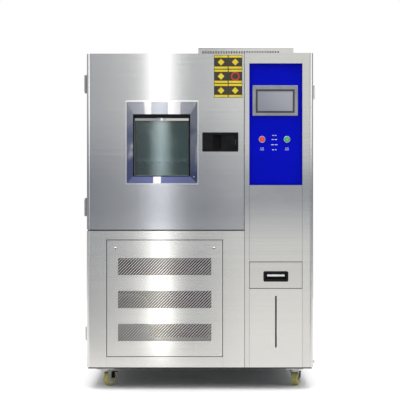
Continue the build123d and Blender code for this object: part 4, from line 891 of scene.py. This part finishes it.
@dataclass
class Palette:
    """Every finish of the object, each made once, with the nodes that wear it.

    A node wears the finish whose list has its name or the start of its name; the finishes with no node are for the
    pieces made here.
    """

    nodes: dict[str, bpy.types.Object]

    def build(self) -> None:
        """Makes all materials and dresses the CAD nodes."""
        Finish.effects = Effects()
        finishes = (
            (SatinSteel("body_steel", (0.89, 0.88, 0.85), (0.83, 0.82, 0.795), hidden=1.0), ("side_panels",
             "back_panel", "roof_panel", "roof_vent_cover", "lower_front_frame", "service_cover", "sight_panel")),
            (SatinSteel("drawer_steel", (0.84, 0.83, 0.80), (0.78, 0.77, 0.745)), ("drawer_front",)),
            # door_steel and column_steel carry a painted shade band down their height.
            (SatinSteel("door_steel", (0.90, 0.895, 0.88), (0.85, 0.845, 0.83), painted_shade_low=0.36, painted_shade_high=1.28,
             painted_shade_strength=0.68), ("door_skin",)),
            (SatinSteel("column_steel", (0.86, 0.855, 0.83), (0.80, 0.795, 0.775), painted_shade_low=0.62, painted_shade_high=1.12,
             painted_shade_colour=(0.28, 0.30, 0.35), painted_shade_strength=0.72), ("column_frame", "blank_panel")),
            (SatinSteel("liner_steel", (0.72, 0.73, 0.72), (0.60, 0.61, 0.60), roughness=0.33), ("chamber_liner",
             "door_liner", "window_throat", "air_duct_panel", "shelf_ledges", "slotted_shelf")),
            (SatinSteel("galvanised", (0.60, 0.62, 0.64), (0.46, 0.48, 0.50), roughness=0.42, anisotropy=0.2),
             ("inner_decks", "drawer_runners")),
            (SatinSteel("hinge_zinc", (0.50, 0.49, 0.47), (0.34, 0.33, 0.32), roughness=0.35, anisotropy=0.3),
             ("cabinet_hinges", "door_hinges")),
            (SatinSteel("zinc_plate", (0.72, 0.72, 0.70), (0.56, 0.56, 0.55), roughness=0.32, anisotropy=0.3),
             ("caster_plates", "drain_spigot", "latch_bolt", "caster_fork")),
            (Polished("mirror_steel"), ("side_grips",)),
            (MirrorTrim("bezel_painted_reflections"), ("window_bezel",)),
            (Polished("turned_metal", (0.78, 0.78, 0.77), 0.16), ("button_rings", "blower_wheel")),
            (Polished("copper_pipe", (0.22, 0.11, 0.07), 0.5), ("conditioning_coils", "condenser_coil")),
            (Moulded("black_mould", (0.005, 0.005, 0.007), 0.36, shine=0.16), ("latch_housing", "latch_paddle",
             "drawer_pull")),
            (Moulded("soft_black", (0.008, 0.008, 0.009), 0.6, shine=0.2), ("door_gasket", "window_gasket")),
            (Moulded("screen_frame", (0.30, 0.31, 0.34), 0.42), ("screen_housing",)),
            (Moulded("screen_band", (0.05, 0.05, 0.055), 0.45), ()),
            (Moulded("pale_plastic", (0.78, 0.78, 0.75), 0.42), ("cable_port", "electrical_plate")),
            (Moulded("milky_plastic", (0.74, 0.77, 0.78), 0.35), ("drawer_tray", "water_tank")),
            (Moulded("print_white", (0.82, 0.82, 0.82), 0.5, relief=0.05), ()),
            (Moulded("edge_green", (0.30, 0.42, 0.30), 0.3), ()),
            (Moulded("label_yellow", (0.86, 0.66, 0.02), 0.32, relief=0.05, coat=0.3), ()),
            (Moulded("label_dark", (0.035, 0.03, 0.012), 0.34, relief=0.05, coat=0.3), ()),
            (Moulded("label_red", (0.66, 0.03, 0.02), 0.34, relief=0.05, coat=0.3), ()),
            (Powder("panel_blue", (0.001, 0.005, 0.58), 0.34, shine=0.045, coat=0.015), ("control_panel",)),
            # fan_shroud and condenser_fan wear this black partly as painted shade, so that the view through the front
            # slots stays dark.
            (Powder("frame_black", (0.012, 0.012, 0.012), 0.42), ("base_frame", "compressor", "fan_shroud",
             "condenser_fan")),
            (Powder("motor_paint", (0.06, 0.09, 0.11), 0.45), ("blower_motor",)),
            (Pane(), ("window_panes",)),
            (Foam(), ("chamber_insulation", "door_core")),
            (Display(), ("screen_display",)),
            (Tread(), ("caster_wheel",)),
            (Lens("cap_red", (0.75, 0.012, 0.012), "stop_button"), ("stop_button",)),
            (Lens("cap_green", (0.01, 0.38, 0.09), "start_button"), ("start_button",)),
        )
        for finish, starts in finishes:
            material = finish.make()
            LOG.info("finish %s made", finish.name)
            for name, thing in self.nodes.items():
                if name.startswith(starts):
                    self._paint(thing, material)

    @staticmethod
    def _paint(thing: bpy.types.Object, material: bpy.types.Material) -> None:
        """Puts one material on every slot of an object."""
        if not thing.material_slots:
            thing.data.materials.append(material)
        for held in thing.material_slots:
            held.material = material


@dataclass
class DoorLabel:
    """Six-cell colour block label at the top of the door: plain shapes, no words or signs."""

    columns: int = 2
    rows: int = 3
    ring_cell: tuple = (0, 1)
    from_right: float = 6.5 * MM
    from_top: float = 6.0 * MM
    cell: float = 62.5 * MM
    thickness: float = 0.3 * MM
    inset: float = 2.2 * MM
    bar_height: float = 9.5 * MM
    bar_drop: float = 2.0 * MM
    lozenge: float = 15.0 * MM
    ring: float = 19.0 * MM
    ring_hole: float = 0.72
    ring_steps: int = 36

    def build(self) -> None:
        """Builds backing, bars, lozenges and ring."""
        low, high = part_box("door_skin")
        right, top = high.x - self.from_right, high.z - self.from_top
        back, face = low.y, low.y - self.thickness
        ground, bars, shapes, ring = (
            Piece(f"door_label_{part}", "door", "stainless", f"label_{tone}")
            for part, tone in (("ground", "dark"), ("bars", "yellow"), ("shapes", "yellow"), ("ring", "red")))
        ground.slab((right - self.columns * self.cell, face, top - self.rows * self.cell), (right, back, top))
        wide = self.cell - 2 * self.inset
        for column in range(self.columns):
            for row in range(self.rows):
                left = right - (column + 1) * self.cell + self.inset
                foot = top - (row + 1) * self.cell + self.bar_drop
                head = foot + self.cell - 2 * self.bar_drop
                for bar_foot in (foot, head - self.bar_height):
                    bars.slab((left, face - self.thickness, bar_foot), (left + wide, face, bar_foot + self.bar_height))
                middle = (left + wide / 2, face, (foot + head) / 2)
                if (column, row) == self.ring_cell:
                    self._shape(ring, middle, self.ring, self.ring_hole, self.ring_steps)
                else:
                    self._shape(shapes, middle, self.lozenge, 0.0, 4)
        for piece in (ground, bars, shapes, ring):
            piece.keep(smooth=False)

    def _shape(self, piece: Piece, middle: Sequence[float], radius: float, hole: float, corners: int) -> None:
        """Adds a plain flat lozenge or ring.

        Args:
            piece: the piece it goes into.
            middle: its centre on the label.
            radius: its reach from the centre.
            hole: share of the radius that is open.
            corners: 4 for a lozenge, more for a ring.
        """
        profile = [(radius * hole, self.thickness), (radius, self.thickness), (radius, 0.0), (radius * hole, 0.0)]
        if hole:
            profile.append(profile[0])
        piece.turned(profile, middle, Facing.FRONT, steps=corners)


@dataclass
class CoverScrews:
    """Two domed cross-head screws that hold the service cover."""

    inset: float = 37.0 * MM
    drop: float = 37.0 * MM
    radius: float = 8.0 * MM
    flange: float = 1.15
    flange_height: float = 0.8 * MM
    root: float = 1.0 * MM
    dome: float = 4.0 * MM
    dome_steps: int = 6
    cross: float = 0.45
    slot: float = 1.4 * MM
    proud: float = 0.15 * MM

    def build(self) -> None:
        """Builds both screws."""
        low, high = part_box("service_cover")
        for side, x in (("left", low.x + self.inset), ("right", high.x - self.inset)):
            piece = Piece(f"cover_screw_{side}", "cabinet", "zinc", "turned_metal")
            turns = [math.pi / 2 * (self.dome_steps - i) / self.dome_steps for i in range(self.dome_steps)]
            profile = [(0.0, -self.root), (self.radius * 0.5, -self.root), (self.radius * self.flange, 0.0),
                       (self.radius * self.flange, self.flange_height)]
            profile += [(self.radius * math.sin(turn), self.dome * math.cos(turn)) for turn in turns]
            z = high.z - self.drop
            piece.turned(profile + [(0.0, self.dome)], (x, low.y, z), Facing.FRONT)
            piece.keep()
            mark = Piece(f"cover_screw_cross_{side}", "cabinet", "zinc", "black_mould")
            reach, front = self.radius * self.cross, low.y - self.dome
            for half_x, half_z in ((reach, self.slot), (self.slot, reach)):
                mark.slab((x - half_x, front - self.proud, z - half_z), (x + half_x, front + self.root, z + half_z))
            mark.keep(smooth=False)


@dataclass
class PullStrip:
    """Pale strip on the finger bar inside the drawer's black pull."""

    half_length: float = 38.5 * MM
    below_top: float = 14.5 * MM
    height: float = 8.5 * MM
    thickness: float = 1.0 * MM
    behind_rim: float = 0.2 * MM
    rounding: float = 0.4 * MM

    def build(self) -> None:
        """Builds the strip just behind the pull's rim."""
        low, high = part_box("drawer_pull")
        middle, face = (low.x + high.x) / 2, low.y + self.behind_rim
        strip = Piece("pull_strip", "water_drawer", "ring_metal", "pale_plastic")
        strip.slab((middle - self.half_length, face, high.z - self.below_top - self.height),
                   (middle + self.half_length, face + self.thickness, high.z - self.below_top))
        strip.soften(self.rounding)
        strip.keep()


@dataclass
class GrilleFilter:
    """Dark pleated dust mat behind the rear grille, so that no daylight shows through the cabinet."""

    half_width: float = 222.0 * MM
    half_height: float = 144.0 * MM
    backing: float = 1.6 * MM
    pleat_depth: float = 3.2 * MM
    pleat_height: float = 3.0 * MM
    pleat_root: float = 0.2 * MM
    pleats: int = 24
    gap: float = 0.4 * MM

    def build(self) -> None:
        """Builds the mat and its pleats centred on the condenser fan."""
        fan_low, fan_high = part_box("condenser_fan")
        middle = (fan_low + fan_high) / 2
        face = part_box("back_panel")[0].y - self.gap
        root = face - self.pleat_depth
        left, right = middle.x - self.half_width, middle.x + self.half_width
        mat = Piece("rear_filter", "cabinet", "foam", "soft_black")
        mat.slab((left, root - self.backing, middle.z - self.half_height), (right, root, middle.z + self.half_height))
        pitch = 2 * self.half_height / self.pleats
        for step in range(self.pleats):
            foot = middle.z - self.half_height + (step + 0.5) * pitch - self.pleat_height / 2
            mat.slab((left, root - self.pleat_root, foot), (right, face, foot + self.pleat_height))
        mat.soften(0.4 * MM, 1)
        mat.keep(smooth=False)


@dataclass
class WindowTrim:
    """Polished strip under the top seal, the cut edge of the glass along the sill and one bezel screw.

    sight is how far the clear opening lies inside the bezel: left, right, foot and top.
    """

    sight: tuple = (32.0 * MM, 36.0 * MM, 34.0 * MM, 58.0 * MM)
    before_glass: float = 0.4 * MM
    strip_drop: float = 16.5 * MM
    strip_inset: float = 5.5 * MM
    strip_height: float = 11.0 * MM
    strip_thickness: float = 1.2 * MM
    edge_lift: float = 5.0 * MM
    edge_height: float = 1.8 * MM
    edge_thickness: float = 0.5 * MM
    edge_sides: tuple = (5.2 * MM, 6.0 * MM, 6.4 * MM)
    edge_drop: float = 13.0 * MM
    screw_profile: tuple = ((0.0, 0.0), (3.4 * MM, 0.0), (2.72 * MM, 1.4 * MM), (0.0, 2.0 * MM))
    screw_inset: float = 20.0 * MM
    screw_depth: float = 4.2 * MM
    screw_lift: float = 33.0 * MM

    def build(self) -> None:
        """Builds strip, edge line and screw."""
        low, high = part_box("window_bezel")
        left, right = low.x + self.sight[0], high.x - self.sight[1]
        foot, top = low.z + self.sight[2] + self.edge_lift, high.z - self.sight[3] - self.strip_drop
        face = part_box("window_panes")[0].y - self.before_glass
        strip = Piece("window_strip", "door", "bezel_chrome", "mirror_steel")
        strip.slab((left + self.strip_inset, face - self.strip_thickness, top - self.strip_height),
                   (right - self.strip_inset, face, top))
        strip.soften(0.5 * MM)
        strip.keep()
        edge = Piece("window_edge", "door", "window_glass", "edge_green")
        outer, middle, inner = self.edge_sides
        front = face - self.edge_thickness
        edge.slab((left + middle, front, foot), (right - middle, face, foot + self.edge_height))
        edge.slab((left + outer, front, foot), (left + inner, face, top - self.edge_drop))
        edge.keep(smooth=False)
        screw = Piece("window_screw", "door", "bezel_chrome", "turned_metal")
        place = (high.x - self.screw_inset, low.y + self.screw_depth, low.z + self.screw_lift)
        screw.turned(self.screw_profile, place, Facing.FRONT, 20)
        screw.keep()


@dataclass
class PanelMarks:
    """White printed marks round the push buttons: plain bars only.

    Each bar in under_buttons and between has its left, right, foot and head in millimetres, from the middle of a
    button and from halfway between the two.
    """

    face_behind_rings: float = 4.0 * MM
    proud: float = 0.25 * MM
    under_buttons: tuple = ((-6.7, -3.3, -40.0, -36.5), (1.4, 6.6, -40.0, -36.5), (-9.0, 9.0, -47.0, -45.4))
    between: tuple = ((-10.0, -3.0, 16.0, 18.6), (1.0, 8.0, 16.0, 18.6), (-13.0, -3.0, -2.0, 0.6),
                      (1.0, 11.0, -2.0, 0.6), (-15.0, -3.0, -25.0, -22.4), (1.0, 13.0, -25.0, -22.4),
                      (-11.0, -3.0, -47.0, -44.4), (1.0, 9.0, -47.0, -44.4))

    def build(self) -> None:
        """Prints the marks on the face of the blue panel."""
        piece = Piece("panel_marks", "cabinet", "panel_blue", "print_white")
        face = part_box("button_rings")[0].y + self.face_behind_rings
        stop, start = ((low + high) / 2 for low, high in (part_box("stop_button"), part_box("start_button")))
        for x, bars in ((stop.x, self.under_buttons), (start.x, self.under_buttons),
                        ((stop.x + start.x) / 2, self.between)):
            for left, right, foot, head in bars:
                piece.slab((x + left * MM, face - self.proud, stop.z + foot * MM),
                           (x + right * MM, face, stop.z + head * MM))
        piece.keep(smooth=False)


@dataclass
class ScreenBand:
    """Dark band between the touch screen's frame and its display."""

    width: float = 8.0 * MM
    proud: float = 0.4 * MM
    sunk: float = 1.0 * MM

    def build(self) -> None:
        """Builds the band's four sides."""
        low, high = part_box("screen_display")
        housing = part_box("screen_housing")[0].y
        piece = Piece("screen_band", "cabinet", "screen_grey", "screen_band")
        left, right = low.x - self.width, high.x + self.width
        for x0, x1, z0, z1 in ((left, right, high.z, high.z + self.width), (left, right, low.z - self.width, low.z),
                               (left, low.x, low.z, high.z), (high.x, right, low.z, high.z)):
            piece.slab((x0, housing - self.proud, z0), (x1, housing + self.sunk, z1))
        piece.keep(smooth=False)


@dataclass
class CasterFittings:
    """Brake pedals on the front casters and dust caps on all wheels."""

    joints: Sequence[dict]
    cap_profile: tuple = ((7.6 * MM, 8.8 * MM), (7.6 * MM, 9.6 * MM), (19.0 * MM, 10.4 * MM),
                          (20.6 * MM, 9.6 * MM), (20.6 * MM, 8.8 * MM), (7.6 * MM, 8.8 * MM))
    cap_steps: int = 28
    pedal_start: float = 27.0 * MM
    pedal_length: float = 33.0 * MM
    pedal_width: float = 34.0 * MM
    pedal_thickness: float = 4.0 * MM
    pedal_lift: float = 32.0 * MM
    pedal_tilt: float = math.radians(10)
    pedal_rounding: float = 1.2 * MM
    cheek_gap: float = 18.4 * MM
    cheek_thickness: float = 1.4 * MM
    cheek_reach: tuple = (-9.0 * MM, 11.0 * MM)
    cheek_foot: float = 4.0 * MM
    cheek_above: float = 2.0 * MM

    def build(self) -> None:
        """Dresses all four casters."""
        joints = {joint["name"]: joint for joint in self.joints}
        for corner in ("front_left", "front_right", "rear_left", "rear_right"):
            roll = joints[f"roll_{corner}"]
            axle, across = Vector(roll["pos_m"]), Vector(roll["axis"]).normalized()
            self._caps(corner, axle, across)
            if corner.startswith("front"):
                self._pedal(corner, axle, Vector(joints[f"swivel_{corner}"]["pos_m"]))

    def _caps(self, corner: str, axle: Vector, across: Vector) -> None:
        """Adds hub caps on both faces of a wheel.

        Args:
            corner: the caster's corner.
            axle: the wheel's centre.
            across: the axle's direction.
        """
        piece = Piece(f"caster_hub_{corner}", f"wheel_{corner}", "zinc", "pale_plastic")
        turn = across.to_track_quat("Z", "Y").to_matrix().to_4x4()
        for side in (1, -1):
            made = piece.turned(tuple((radius, side * height) for radius, height in self.cap_profile), (0, 0, 0),
                                Facing.UP, self.cap_steps)
            bmesh.ops.transform(piece.mesh, matrix=Matrix.Translation(axle) @ turn, verts=made)
        piece.keep()

    def _pedal(self, corner: str, axle: Vector, pin: Vector) -> None:
        """Adds a brake pedal that reaches back over the wheel, with a cheek on each side of the fork.

        Args:
            corner: the caster's corner.
            axle: the wheel's centre.
            pin: a point on the king pin.
        """
        trail = Vector((axle.x - pin.x, axle.y - pin.y, 0.0)).normalized()
        piece = Piece(f"caster_pedal_{corner}", f"fork_{corner}", "pull_black", "soft_black")
        turn = Matrix((trail, Vector((-trail.y, trail.x, 0.0)), Vector((0.0, 0.0, 1.0)))).transposed()
        start, lift = self.pedal_start, self.pedal_lift
        tread = piece.slab((start, -self.pedal_width / 2, lift),
                           (start + self.pedal_length, self.pedal_width / 2, lift + self.pedal_thickness))
        bmesh.ops.rotate(piece.mesh, verts=tread, cent=(start, 0.0, lift),
                         matrix=Matrix.Rotation(self.pedal_tilt, 3, "Y"))
        for side in (-1, 1):
            inner, outer = sorted((side * self.cheek_gap, side * (self.cheek_gap + self.cheek_thickness)))
            piece.slab((start + self.cheek_reach[0], inner, self.cheek_foot),
                       (start + self.cheek_reach[1], outer, lift + self.cheek_above))
        bmesh.ops.transform(piece.mesh, matrix=Matrix.Translation((pin.x, pin.y, axle.z)) @ turn.to_4x4(),
                            verts=piece.mesh.verts)
        piece.soften(self.pedal_rounding)
        piece.keep()


class Chamber:
    """The whole dressed object."""

    def __init__(self) -> None:
        """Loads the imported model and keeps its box."""
        self.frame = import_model()
        self.box = [list(corner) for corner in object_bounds()]

    def build(self) -> None:
        """Builds every class in order."""
        Studio().build()
        Palette(self.frame["nodes"]).build()
        for part in (DoorLabel(), CoverScrews(), PullStrip(), GrilleFilter(), WindowTrim(), PanelMarks(),
                     ScreenBand(), CasterFittings(self.frame["joints"])):
            part.build()
            LOG.info("%s built", type(part).__name__)


def main() -> None:
    """Builds the dressed chamber, which keeps its box."""
    logging.basicConfig(level=logging.INFO, format="%(name)s: %(message)s")
    chamber = Chamber()
    chamber.build()


if __name__ == "__main__":
    main()
